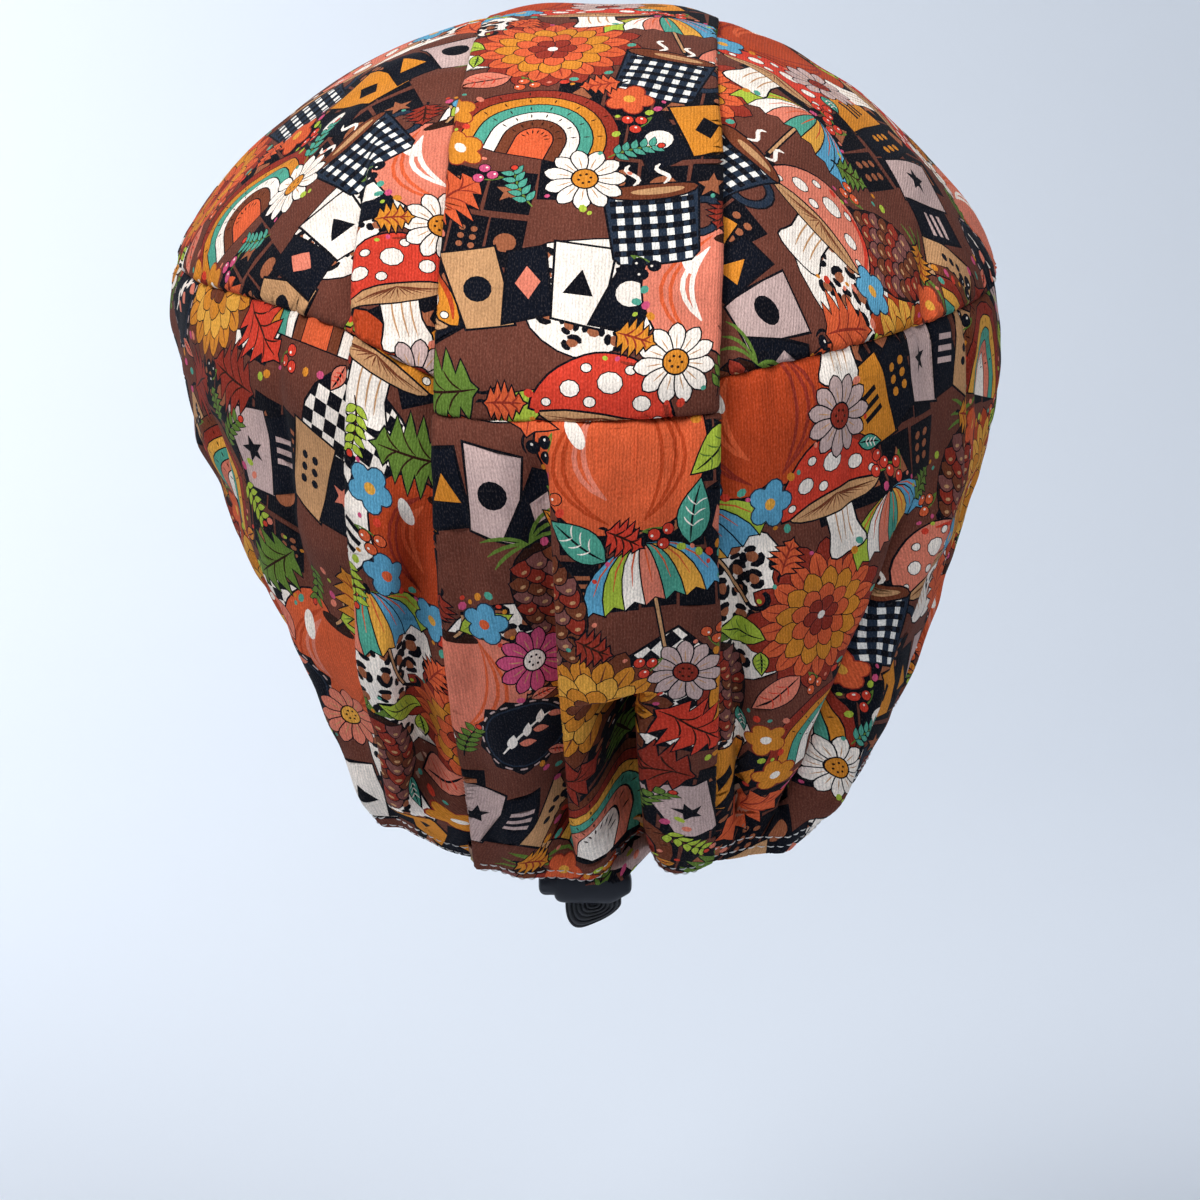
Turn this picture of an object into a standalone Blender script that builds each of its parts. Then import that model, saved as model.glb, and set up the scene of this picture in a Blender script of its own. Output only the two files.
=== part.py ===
"""A bouffant scrub cap in printed cloth, held up as a head holds it.

Metres, +Z up. The wearer faces -Y, and the back of the cap is +Y.
The origin is the inner top of the crown, where the head bears.
A turn is an angle in degrees about Z from the back centre, positive towards the wearer's left, which is +X.
A place on the wall is a turn and a share of the way down, from the crown seam at 0 to the hem at 1.
"""

import math

import bmesh
import bpy
from mathutils import Vector

# Cap sizes
CAP_WIDTH = 0.238  # across the crown seam
SIDE_LEAN = 0.004  # how far the cloth sits towards the wearer's left of the strip
BACK_REACH = 0.150  # from the origin back to the crown seam
BROW_REACH = 0.106  # from the origin forward to the crown seam
CROWN_DROP = 0.072  # from the crown's top down to the seam at the sides
NAPE_DROP = 0.235  # from the crown's top down to the hem at the nape
HEM_WIDTH = 0.160  # across the hem at the ears
NAPE_REACH = 0.082  # from the origin back to the hem
STRIP_WIDTH = 0.070  # the crown strip at its tail, and the back panel under it
STRIP_TOP_WIDTH = 0.063  # the crown strip from the top of the head forward
STRIP_TAIL = 0.011  # how far the strip runs on below the crown seam at the back
BROW_BAND_TURN = 118.0  # where the brow band meets the side panels

# Cloth sizes
CLOTH = 0.0018  # wall of knit with its seam turnings
SEAM_GAP = 0.0005  # clear between two panels at a seam
SEAM_PUFF = 0.0018  # how far a panel swells beside its seam
SEAM_ROLL = 0.008  # over what length it swells
STRIP_PROUD = 0.0055  # how far the strip and the back panel stand over their neighbours
STRIP_ROLL = 0.0035  # over what length their edges rise
TOP_PROUD = 0.0015  # how far the strip stands up at the top of the head
LAP_EDGE = 0.0045  # the steep side of a lapped fold
FOLD_DEPTH = 0.010  # the depth that the tables take their shares of
FOLD_WIDTH = 0.010  # the half width that the tables take their shares of
FOLD_FADE = 0.14  # over what share of the way down a fold starts and ends

# Elastic and cord lock sizes
ELASTIC_WIDTH = 0.0075
ELASTIC_THICKNESS = 0.0016
ELASTIC_CLEARANCE = 0.0004  # to the hem that it lies in and to the lock that it runs through
LEG_GAP = 0.001  # between the loop's two legs
LEG_LENGTH = 0.008  # how far the legs run up inside the hem
LOOP_SIDE = -0.0008  # the loop's middle, negative towards the wearer's right
LOCK_SIDE = 0.0015  # the lock's middle
LOCK_WIDTH = 0.0265
LOCK_HEIGHT = 0.0115
LOCK_DEPTH = 0.0085
LOCK_EDGE = 0.0028  # the rounding of the lock's edges
LOCK_TUCK = 0.0010  # how far the lock's top is up behind the hem's lowest edge

# Form of the crown and the wall
CROWN_EDGE_ANGLE = 56.0  # the crown's slope at its seam
SEAM_LEAN = 75.0  # the way cloth swells at the crown seam, in degrees from straight up
HEM_LEAN = 122.0  # and at the hem, which is drawn in under the wall
HEM_PROUD = 0.4  # the share of STRIP_PROUD that is left at the hem
HANG_START = 0.10  # how far down the wall hangs straight
HANG_CURVE = 1.7  # how suddenly it draws in below that

# Sections of the wall. The columns are the turn, the crown seam's drop over CROWN_DROP, the hem's place
# over half of HEM_WIDTH and over NAPE_REACH, its drop over NAPE_DROP, and the belly over FOLD_DEPTH.
LEFT_SECTIONS = (
    (0.0, 1.15, 0.00, 1.00, 1.00, 0.4),
    (14.0, 1.14, 0.40, 0.96, 0.99, 0.4),
    (24.0, 1.01, 0.60, 0.84, 0.975, 0.4),
    (40.0, 0.94, 0.77, 0.58, 0.95, 0.3),
    (60.0, 0.95, 0.80, 0.24, 0.92, 0.1),
    (90.0, 0.95, 0.85, -0.30, 0.86, 0.0),
    (118.0, 0.90, 0.90, -0.84, 0.70, 0.0),
    (150.0, 0.80, 0.56, -1.22, 0.51, 0.0),
    (180.0, 0.72, 0.00, -1.33, 0.44, 0.0),
)
RIGHT_SECTIONS = (
    (0.0, 1.15, 0.00, 1.00, 1.00, 0.4),
    (14.0, 1.13, 0.45, 0.95, 0.99, 0.4),
    (24.0, 1.09, 0.68, 0.84, 0.975, 0.4),
    (40.0, 1.05, 0.86, 0.60, 0.945, 0.3),
    (60.0, 1.03, 0.99, 0.26, 0.905, 0.1),
    (90.0, 1.02, 1.10, -0.26, 0.83, 0.0),
    (118.0, 0.94, 0.98, -0.82, 0.69, 0.0),
    (150.0, 0.80, 0.56, -1.22, 0.51, 0.0),
    (180.0, 0.72, 0.00, -1.33, 0.44, 0.0),
)

# Folds of the wall. The columns are the turn at the crown seam, halfway down and at the hem, the shares of
# the way down where the fold starts and ends, its half width over FOLD_WIDTH, its height over FOLD_DEPTH
# at its start and at its end, and the lap: 1 or -1 where the side of larger or smaller turns stands over
# the other, 0 for an even fold.
LEFT_FOLDS = (
    (24.0, 24.0, 24.0, 0.00, 0.90, 2.0, 0.65, 1.20, -1),
    (14.5, 17.0, 19.0, 0.26, 0.95, 0.9, -0.80, -1.50, 0),
    (46.0, 41.0, 35.0, 0.18, 1.00, 1.7, 0.15, 0.45, 0),
    (57.0, 51.0, 43.0, 0.25, 1.00, 1.3, -0.15, -0.50, 0),
)
RIGHT_FOLDS = (
    (-16.0, -16.5, -17.5, 0.34, 0.95, 0.9, -0.70, -0.90, 0),
    (-54.0, -38.0, -21.0, 0.38, 0.95, 1.3, -0.80, -1.50, 0),
    (-64.0, -47.0, -30.0, 0.30, 0.95, 1.4, 0.30, 0.70, 0),
    (-45.0, -45.0, -45.0, 0.00, 0.16, 1.0, -0.25, -0.10, 0),
    (-26.0, -25.0, -24.0, 0.50, 1.00, 1.2, 0.10, 0.30, 0),
)
BACK_FOLDS = (
    (3.5, 2.6, 2.2, 0.14, 0.92, 0.75, -0.45, -1.15, 0),
    (-6.5, -6.6, -6.6, 0.56, 1.00, 0.85, -1.50, -1.60, 0),
    (8.5, 8.5, 8.0, 0.20, 1.00, 0.9, 0.15, 0.30, 0),
    (-2.0, -2.0, -1.5, 0.15, 1.00, 0.8, 0.20, 0.35, 0),
    (-11.0, -11.0, -11.0, 0.50, 1.00, 0.5, 0.10, 0.25, 0),
)
CROWN_TUCK_RUN = 0.45  # how far up the crown the folds at its seam run, over BACK_REACH

# Steps of each panel's grid, across and along
STRIP_STEPS = (10, 26)
CROWN_STEPS = (10, 18)
SIDE_STEPS = (30, 22)
BACK_STEPS = (20, 20)
BAND_STEPS = (12, 5)
ELASTIC_STEPS = (2, 22)
TAIL_STEPS = 2  # of the strip's steps along, those on its tail

# Colours
BROWN_PRINT = (0.16, 0.055, 0.03, 1)
BLACK_ELASTIC = (0.006, 0.006, 0.008, 1)
BLACK_PLASTIC = (0.010, 0.012, 0.018, 1)

# Metres along the crown seam for each degree of turn at the back
TURN_LENGTH = math.radians(BACK_REACH)
CROWN_TOP = CLOTH - TOP_PROUD


def between(rows, column, place):
    """A column of a table at any place, by a smooth curve through its rows."""
    last = len(rows) - 1
    place = min(max(place, rows[0][0]), rows[last][0])
    i = max(k for k in range(last) if rows[k][0] <= place)

    def slope(k):
        low, high = max(k - 1, 0), min(k + 1, last)
        return (rows[high][column] - rows[low][column]) / (rows[high][0] - rows[low][0])

    span = rows[i + 1][0] - rows[i][0]
    s = (place - rows[i][0]) / span
    return (
        rows[i][column] * (1 + 2 * s) * (1 - s) ** 2
        + slope(i) * span * s * (1 - s) ** 2
        + rows[i + 1][column] * (3 - 2 * s) * s**2
        - slope(i + 1) * span * (1 - s) * s**2
    )


def ease(share):
    """0 to 1 with level ends."""
    share = min(max(share, 0), 1)
    return share * share * (3 - 2 * share)


def mix(first, second, share):
    return first + (second - first) * share


def sections(turn):
    return LEFT_SECTIONS if turn >= 0 else RIGHT_SECTIONS


def half_width(side):
    """The crown seam's half width on the side of that sign."""
    return CAP_WIDTH / 2 + (SIDE_LEAN if side >= 0 else -SIDE_LEAN)


def seam_reach(turn):
    """How far the crown seam is from the origin in plan: quarter ellipses that meet at the sides."""
    across = math.sin(math.radians(turn)) / half_width(turn)
    along = math.cos(math.radians(turn))
    along /= BACK_REACH if along > 0 else BROW_REACH
    return 1 / math.hypot(across, along)


def seam_turn(x, reach=BACK_REACH):
    """The turn of the crown seam at a distance x from the middle; a negative reach means the front."""
    wide = half_width(x)
    x = min(max(x, -wide), wide)
    return math.degrees(math.atan2(x, reach * math.sqrt(1 - (x / wide) ** 2)))


def seam_place(x, reach=BACK_REACH):
    """How far back the crown seam is at a distance x from the middle."""
    turn = seam_turn(x, reach)
    return seam_reach(turn) * math.cos(math.radians(turn))


def seam_drop(turn):
    return CROWN_DROP * between(sections(turn), 1, abs(turn))


def leaning(turn, lean):
    """The direction at a turn that leans by that many degrees from straight up."""
    turn, lean = math.radians(turn), math.radians(lean)
    return Vector((math.sin(turn) * math.sin(lean), math.cos(turn) * math.sin(lean), math.cos(lean)))


def fold_height(folds, turn, down):
    """How far the folds of a table lift the cloth at a place on the wall."""
    height = 0
    for first, middle, last, start, end, width, high, low, lap in folds:
        # A curve through the fold's three turns
        line = mix(mix(first, middle, 2 * down), mix(middle, last, 2 * down - 1), down)
        offset = (turn - line) * TURN_LENGTH
        width *= FOLD_WIDTH
        if lap == 0:
            form = math.cos(math.pi / 2 * min(abs(offset) / width, 1)) ** 2
        elif offset * lap > 0:
            form = ease(1 - abs(offset) / width)
        else:
            form = ease(1 - abs(offset) / LAP_EDGE)
        if start > 0:
            form *= ease((down - start) / FOLD_FADE + 0.5)
        if end < 1:
            form *= ease((end - down) / FOLD_FADE + 0.5)
        height += form * FOLD_DEPTH * mix(high, low, ease((down - start) / (end - start)))
    return height


def roll(distance, length):
    """How far cloth has risen at a distance from its seam, from 0 to 1."""
    return 1 - math.exp(-max(distance, 0) / length)


def crown_base(x, y):
    """The crown over a place in plan: an arc from the top down to the seam, whichever way it runs."""
    turn = math.degrees(math.atan2(x, y))
    share = min(math.hypot(x, y) / seam_reach(turn), 1)
    edge = math.radians(CROWN_EDGE_ANGLE)
    fall = (1 - math.sqrt(1 - (share * math.sin(edge)) ** 2)) / (1 - math.cos(edge))
    return Vector((x, y, CROWN_TOP - seam_drop(turn) * fall))


def crown_direction(x, y):
    """The way cloth swells over a place of the crown, which meets the wall's at the seam."""
    turn = math.degrees(math.atan2(x, y))
    return leaning(turn, SEAM_LEAN * min(math.hypot(x, y) / seam_reach(turn), 1))


def wall_base(turn, down):
    """The wall without folds."""
    rows = sections(turn)
    size = abs(turn)
    seam = leaning(size, 90) * seam_reach(turn)
    seam.z = CROWN_TOP - seam_drop(turn)
    hem = Vector((
        HEM_WIDTH / 2 * between(rows, 2, size),
        NAPE_REACH * between(rows, 3, size),
        CROWN_TOP - NAPE_DROP * between(rows, 4, size),
    ))
    drawn_in = (max(down - HANG_START, 0) / (1 - HANG_START)) ** HANG_CURVE
    point = seam.lerp(hem, drawn_in)
    point.z = mix(seam.z, hem.z, down)
    point += leaning(size, 90) * FOLD_DEPTH * between(rows, 5, size) * math.sin(math.pi * down)
    return Vector((math.copysign(point.x, turn), point.y, point.z))


def wall_direction(turn, down):
    return leaning(turn, mix(SEAM_LEAN, HEM_LEAN, down))


def wall_length(turn):
    """How long the wall is from the crown seam to the hem."""
    return (wall_base(turn, 1) - wall_base(turn, 0)).length


def strip_half(y):
    """The strip's half width at a place forward or back."""
    return mix(STRIP_TOP_WIDTH, STRIP_WIDTH, ease(y / BACK_REACH)) / 2


def edge_turn(side):
    """The turn where the crown seam meets the strip's edge at the back."""
    return seam_turn(side * STRIP_WIDTH / 2)


def strip_proud(y):
    """How far the strip stands over the crown at a place forward or back."""
    return mix(TOP_PROUD, STRIP_PROUD, ease(y / BACK_REACH))


def tail_down(turn):
    """The share of the way down where the strip's tail meets the back panel."""
    return STRIP_TAIL / wall_length(turn)


def crown_surface(x, y):
    """A crown panel over a place in plan, with its seams and the folds that run up it."""
    turn = math.degrees(math.atan2(x, y))
    to_seam = seam_reach(turn) - math.hypot(x, y)
    to_strip = abs(x) - strip_half(y)
    height = SEAM_PUFF * roll(to_seam, SEAM_ROLL) * roll(to_strip, SEAM_ROLL)
    if y > 0:
        up_crown = ease(1 - (seam_place(x) - y) / (CROWN_TUCK_RUN * BACK_REACH))
        height += up_crown * fold_height(LEFT_FOLDS if x > 0 else RIGHT_FOLDS, seam_turn(x), 0)
    return crown_base(x, y) + crown_direction(x, y) * height


def strip_surface(across, y):
    """The crown strip at a share across, -1 to 1, and a place forward or back in plan."""
    half = strip_half(y)
    x = across * (half - SEAM_GAP / 2)
    height = strip_proud(y) * roll(half - abs(x), STRIP_ROLL)
    return crown_base(x, y) + crown_direction(x, y) * height


def back_surface(turn, down):
    """The back panel and the strip's tail above it, which stand over the side panels."""
    to_edge = abs(edge_turn(math.copysign(1, turn)) - turn) * TURN_LENGTH
    to_seam = abs(down - tail_down(turn)) * wall_length(turn)
    height = STRIP_PROUD * mix(1, HEM_PROUD, ease(down)) * roll(to_edge, STRIP_ROLL)
    height -= SEAM_PUFF / 2 * (1 - roll(to_seam, SEAM_ROLL / 2)) * roll(to_edge, STRIP_ROLL)
    height += fold_height(BACK_FOLDS, turn, down)
    return wall_base(turn, down) + wall_direction(turn, down) * height


def side_surface(turn, down):
    """A side panel, from the back panel's edge round to the brow band."""
    to_back = abs(turn - edge_turn(math.copysign(1, turn))) * TURN_LENGTH
    to_band = abs(BROW_BAND_TURN - abs(turn)) * TURN_LENGTH
    to_seam = down * wall_length(turn)
    height = SEAM_PUFF * roll(to_back, SEAM_ROLL) * roll(to_band, SEAM_ROLL) * roll(to_seam, SEAM_ROLL)
    folds = LEFT_FOLDS if turn > 0 else RIGHT_FOLDS
    height += fold_height(folds, turn, down) * roll(to_back, STRIP_ROLL)
    return wall_base(turn, down) + wall_direction(turn, down) * height


def same_turn(turn):
    """A turn past 180 as the turn that it is from the other side."""
    return (turn + 180) % 360 - 180


def band_surface(turn, down):
    """The brow band round the front."""
    to_side = (abs(turn) - BROW_BAND_TURN) * TURN_LENGTH
    to_seam = down * wall_length(turn)
    height = SEAM_PUFF * roll(to_side, SEAM_ROLL) * roll(to_seam, SEAM_ROLL)
    return wall_base(turn, down) + wall_direction(turn, down) * height


def closer_at_ends(share):
    """A share from 0 to 1 with its steps drawn closer at both ends."""
    return mix(share, (1 - math.cos(math.pi * share)) / 2, 0.6)


def closer_at_start(share):
    """A share from 0 to 1 with its steps drawn closer at the start."""
    return mix(share, 1 - math.cos(math.pi / 2 * share), 0.6)


def material(name, colour, roughness, sheen=0.0):
    made = bpy.data.materials.new(name)
    made.use_nodes = True
    shader = made.node_tree.nodes["Principled BSDF"]
    shader.inputs["Base Color"].default_value = colour
    shader.inputs["Roughness"].default_value = roughness
    shader.inputs["Metallic"].default_value = 0.0
    shader.inputs["Sheen Weight"].default_value = sheen
    return made


def place_object(name, mesh, made_of, collection):
    part = bpy.data.objects.new(name, mesh)
    mesh.materials.append(made_of)
    collection.objects.link(part)
    return part


def cloth(name, surface, steps, thickness, made_of, collection):
    """A sheet from surface(across, up), shares from 0 to 1, thickened inwards from its outer face."""
    grid = bmesh.new()
    bmesh.ops.create_grid(grid, x_segments=steps[0], y_segments=steps[1], size=1)
    for corner in grid.verts:
        corner.co = surface((corner.co.x + 1) / 2, (corner.co.y + 1) / 2)
    for face in grid.faces:
        face.smooth = True
    mesh = bpy.data.meshes.new(name)
    grid.to_mesh(mesh)
    grid.free()
    sheet = place_object(name, mesh, made_of, collection)
    wall = sheet.modifiers.new("wall", "SOLIDIFY")
    wall.thickness = thickness
    wall.offset = -1
    return sheet


def crown_strip(made_of, collection):
    """The strip from the brow band over the top to its tail below the back seam."""
    tail_share = TAIL_STEPS / STRIP_STEPS[1]

    def surface(across, up):
        across = 1 - 2 * closer_at_ends(across)
        if up < tail_share:
            turn = seam_turn(across * (STRIP_WIDTH - SEAM_GAP) / 2)
            lowest = tail_down(turn) - SEAM_GAP / 2 / wall_length(turn)
            return back_surface(turn, mix(lowest, 0, up / tail_share))
        back = seam_place(across * (STRIP_WIDTH - SEAM_GAP) / 2)
        front = seam_place(across * (STRIP_TOP_WIDTH - SEAM_GAP) / 2, -BROW_REACH) + SEAM_GAP
        return strip_surface(across, mix(back, front, (up - tail_share) / (1 - tail_share)))

    return cloth("crown_strip", surface, STRIP_STEPS, CLOTH, made_of, collection)


def crown_panel(name, side, made_of, collection):
    """The panel between the strip and the crown seam, on the side of that sign."""
    end_cut = 0.005  # a share of the panel's length is cut off each end, where it would run to a point
    back_x = side * STRIP_WIDTH / 2
    front_x = side * STRIP_TOP_WIDTH / 2

    def surface(across, up):
        inward = closer_at_ends(across if side > 0 else 1 - across)
        up = mix(end_cut, 1 - end_cut, up)
        turn = mix(seam_turn(back_x), seam_turn(front_x, -BROW_REACH), up)
        rim = leaning(turn, 90) * (seam_reach(turn) - SEAM_GAP)
        y = mix(seam_place(back_x), seam_place(front_x, -BROW_REACH), up)
        inner = Vector((side * (strip_half(y) + SEAM_GAP / 2), y, rim.z))
        place = rim.lerp(inner, inward)
        return crown_surface(place.x, place.y)

    return cloth(name, surface, CROWN_STEPS, CLOTH, made_of, collection)


def side_panel(name, side, made_of, collection):
    """The panel from the back panel's edge round to the brow band, on the side of that sign."""
    inset = SEAM_GAP / 2 / TURN_LENGTH

    def surface(across, up):
        forward = closer_at_start(1 - across if side > 0 else across)
        turn = side * mix(abs(edge_turn(side)) + inset, BROW_BAND_TURN - inset, forward)
        return side_surface(turn, mix(1, SEAM_GAP / wall_length(turn), up))

    return cloth(name, surface, SIDE_STEPS, CLOTH, made_of, collection)


def back_panel(made_of, collection):
    """The box-pleated panel from the strip's tail down to the nape hem."""
    inset = SEAM_GAP / 2 / TURN_LENGTH

    def surface(across, up):
        turn = mix(edge_turn(1) - inset, edge_turn(-1) + inset, closer_at_ends(across))
        return back_surface(turn, mix(1, tail_down(turn) + SEAM_GAP / 2 / wall_length(turn), up))

    return cloth("back_panel", surface, BACK_STEPS, CLOTH, made_of, collection)


def front_band(made_of, collection):
    """The plain band over the brow."""
    inset = SEAM_GAP / 2 / TURN_LENGTH

    def surface(across, up):
        turn = same_turn(mix(-BROW_BAND_TURN - inset, BROW_BAND_TURN + inset - 360, across))
        return band_surface(turn, mix(1, SEAM_GAP / wall_length(turn), up))

    return cloth("front_band", surface, BAND_STEPS, CLOTH, made_of, collection)


def inside_hem(side, half):
    """How far back a thing of that half width can lie just inside the cloth at the nape."""
    spots = [back_surface(turn / 2, down / 40) for turn in range(-26, 27) for down in range(36, 41)]
    inner = min(spot.y for spot in spots if abs(spot.x - side) <= half)
    return inner - CLOTH - ELASTIC_CLEARANCE


def hem_level():
    """The height of the hem at the nape."""
    return back_surface(0, 1).z


def lock_plane():
    """How far back the middle of the lock lies."""
    return inside_hem(LOCK_SIDE, LOCK_WIDTH / 2) - ELASTIC_THICKNESS / 2


def elastic_loop(made_of, collection):
    """Two legs side by side, which come out to the hem above the lock, and the half turn that joins them
    below it, as one flat band."""
    radius = (ELASTIC_WIDTH + LEG_GAP) / 2
    leg = LEG_LENGTH + LOCK_HEIGHT - LOCK_TUCK
    bend = math.pi * radius
    plane = lock_plane() + ELASTIC_THICKNESS / 2
    top_plane = inside_hem(LOOP_SIDE, ELASTIC_WIDTH + LEG_GAP)
    turn_level = hem_level() + LOCK_TUCK - LOCK_HEIGHT

    def surface(across, up):
        along = up * (2 * leg + bend)
        offset = radius + (0.5 - across) * ELASTIC_WIDTH
        angle = min(max((along - leg) / radius, 0), math.pi)
        climb = max(leg - along, along - leg - bend, 0)
        return Vector((
            LOOP_SIDE - offset * math.cos(angle),
            mix(plane, top_plane, ease((climb - LOCK_HEIGHT) / (leg - LOCK_HEIGHT))),
            turn_level + climb - offset * math.sin(angle),
        ))

    return cloth("elastic_loop", surface, ELASTIC_STEPS, ELASTIC_THICKNESS, made_of, collection)


def box(name, size, centre):
    mesh = bpy.data.meshes.new(name)
    cube = bmesh.new()
    bmesh.ops.create_cube(cube, size=1)
    for corner in cube.verts:
        corner.co = Vector(a * b for a, b in zip(corner.co, size, strict=True)) + centre
    cube.to_mesh(mesh)
    cube.free()
    return mesh


def cord_lock(made_of, collection, cutters):
    """The rounded toggle, with one slot for the elastic's two legs."""
    plane = lock_plane()
    middle = hem_level() + LOCK_TUCK - LOCK_HEIGHT / 2
    body = box("cord_lock", (LOCK_WIDTH, LOCK_DEPTH, LOCK_HEIGHT), Vector((LOCK_SIDE, plane, middle)))
    lock = place_object("cord_lock", body, made_of, collection)
    rounding = lock.modifiers.new("rounding", "BEVEL")
    rounding.width = LOCK_EDGE
    rounding.segments = 3
    slot_size = (
        2 * (ELASTIC_WIDTH + ELASTIC_CLEARANCE) + LEG_GAP,
        ELASTIC_THICKNESS + 2 * ELASTIC_CLEARANCE,
        2 * LOCK_HEIGHT,
    )
    slot = bpy.data.objects.new("lock_slot", box("lock_slot", slot_size, Vector((LOOP_SIDE, plane, middle))))
    slot.hide_render = True
    slot.display_type = "WIRE"
    cutters.objects.link(slot)
    cut = lock.modifiers.new("slot", "BOOLEAN")
    cut.object = slot
    cut.operation = "DIFFERENCE"
    return lock


def main():
    for thing in list(bpy.data.objects):
        bpy.data.objects.remove(thing, do_unlink=True)
    cap = bpy.data.collections.new("scrub_cap")
    cutters = bpy.data.collections.new("cutters")
    bpy.context.scene.collection.children.link(cap)
    bpy.context.scene.collection.children.link(cutters)

    for name, build in (("crown_strip", crown_strip), ("back_panel", back_panel), ("front_band", front_band)):
        build(material(name, BROWN_PRINT, 0.9, 0.3), cap)
    for name, side in (("crown_left", 1), ("crown_right", -1)):
        crown_panel(name, side, material(name, BROWN_PRINT, 0.9, 0.3), cap)
    for name, side in (("side_left", 1), ("side_right", -1)):
        side_panel(name, side, material(name, BROWN_PRINT, 0.9, 0.3), cap)
    elastic_loop(material("elastic_loop", BLACK_ELASTIC, 0.7), cap)
    cord_lock(material("cord_lock", BLACK_PLASTIC, 0.35), cap, cutters)


main()
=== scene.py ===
"""The looks of a worn bouffant scrub cap in a soft printed knit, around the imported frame.

Metres, +Z up. The wearer faces -Y, and the back of the cap is +Y.
A turn is an angle in degrees about Z from the back centre, positive towards the wearer's left, which is +X.
Each cloth panel is first a table of points, rows down the cap and columns across it as seen from outside.
Lengths along the table give the flat cut, where the print is drawn in millimetres, and its outlines are
triangulated with the cut and put back on the form, so the print's edges are edges of the outer layer's mesh.
The inner layer is a coarser net that shares the outer one's rim.
"""

import math

import bmesh
import bpy
import numpy as np
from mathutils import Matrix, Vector
from mathutils.geometry import delaunay_2d_cdt
from mathutils.kdtree import KDTree


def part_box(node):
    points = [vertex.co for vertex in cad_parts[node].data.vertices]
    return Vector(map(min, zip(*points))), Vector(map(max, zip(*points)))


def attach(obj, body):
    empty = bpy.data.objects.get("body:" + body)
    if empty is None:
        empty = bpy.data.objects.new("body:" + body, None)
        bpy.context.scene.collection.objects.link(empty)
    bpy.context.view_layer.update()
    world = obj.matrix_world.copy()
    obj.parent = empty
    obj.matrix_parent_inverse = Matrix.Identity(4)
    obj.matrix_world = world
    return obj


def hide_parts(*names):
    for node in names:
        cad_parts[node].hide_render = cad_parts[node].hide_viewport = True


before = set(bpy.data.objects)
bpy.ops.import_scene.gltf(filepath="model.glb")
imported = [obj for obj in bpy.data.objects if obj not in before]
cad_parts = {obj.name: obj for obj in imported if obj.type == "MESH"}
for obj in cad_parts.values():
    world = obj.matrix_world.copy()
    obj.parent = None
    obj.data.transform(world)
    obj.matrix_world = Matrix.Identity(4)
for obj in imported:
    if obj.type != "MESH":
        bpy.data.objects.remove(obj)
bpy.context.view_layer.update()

# The form, with the part's own sizes
CAP_WIDTH = 0.238
SIDE_LEAN = 0.004
BACK_REACH = 0.150
BROW_REACH = 0.106
CROWN_DROP = 0.072
NAPE_DROP = 0.235
HEM_WIDTH = 0.160
NAPE_REACH = 0.082
STRIP_WIDTH = 0.070
STRIP_TOP_WIDTH = 0.063
STRIP_TAIL = 0.011
BROW_BAND_TURN = 118.0
SEAM_PUFF = 0.0020
SEAM_ROLL = 0.007
STRIP_PROUD = 0.0055
TOP_PROUD = 0.0020
CROWN_TOP = 0.0003
LAP_EDGE = 0.0042
LAP_OVER = 0.0030  # how far the high side of a lapped fold reaches over its low side
LAP_EASE = 0.005  # over what length that fades
PINCH = 0.31  # how far the shoulders of a valley close over it, over its half width
CREASE_WIDTH = 0.38  # the crease in a valley's floor, over its half width
CREASE_DEPTH = 0.22
FOLD_DEPTH = 0.010
FOLD_WIDTH = 0.010
FOLD_FADE = 0.10
DEEP = 0.018
FLOOR = 1.45  # how steep a deep hollow's far side is, over a shallow one's
CROWN_EDGE_ANGLE = 56.0
SEAM_LEAN = 75.0
HEM_LEAN = 122.0
HEM_PROUD = 0.4
HANG_START = 0.10
HANG_CURVE = 1.7
CROWN_TUCK_RUN = 0.45
TURN_LENGTH = math.radians(BACK_REACH)

# Cloth
KNIT = 0.0009  # thickness of the knit
CELL = 0.0007  # step of the tables
GRID = (2, 2)  # every so many table points down and across, one goes into the outer layer's mesh
INNER_GRID = (6, 2)  # and into the inner layer's, down and across
IDLE = 0.06  # an outline's point goes where it bends the line by less than this, mm

# Columns: turn, seam drop, hem side, hem back, hem drop, belly, as shares of the sizes above
LEFT_SECTIONS = (
    (0.0, 1.15, 0.00, 1.00, 1.00, 0.4),
    (14.0, 1.14, 0.40, 0.96, 0.99, 0.4),
    (24.0, 1.01, 0.60, 0.84, 0.975, 0.4),
    (40.0, 0.94, 0.77, 0.58, 0.95, 0.3),
    (60.0, 0.95, 0.80, 0.24, 0.92, 0.1),
    (90.0, 0.95, 0.85, -0.30, 0.86, 0.0),
    (118.0, 0.90, 0.90, -0.84, 0.70, 0.0),
    (150.0, 0.80, 0.56, -1.22, 0.51, 0.0),
    (180.0, 0.72, 0.00, -1.33, 0.44, 0.0),
)
RIGHT_SECTIONS = (
    (0.0, 1.15, 0.00, 1.00, 1.00, 0.4),
    (14.0, 1.13, 0.45, 0.95, 0.99, 0.4),
    (24.0, 1.09, 0.68, 0.84, 0.975, 0.4),
    (40.0, 1.05, 0.86, 0.60, 0.945, 0.3),
    (60.0, 1.03, 0.99, 0.26, 0.905, 0.1),
    (90.0, 1.02, 1.10, -0.26, 0.83, 0.0),
    (118.0, 0.94, 0.98, -0.82, 0.69, 0.0),
    (150.0, 0.80, 0.56, -1.22, 0.51, 0.0),
    (180.0, 0.72, 0.00, -1.33, 0.44, 0.0),
)
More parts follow.
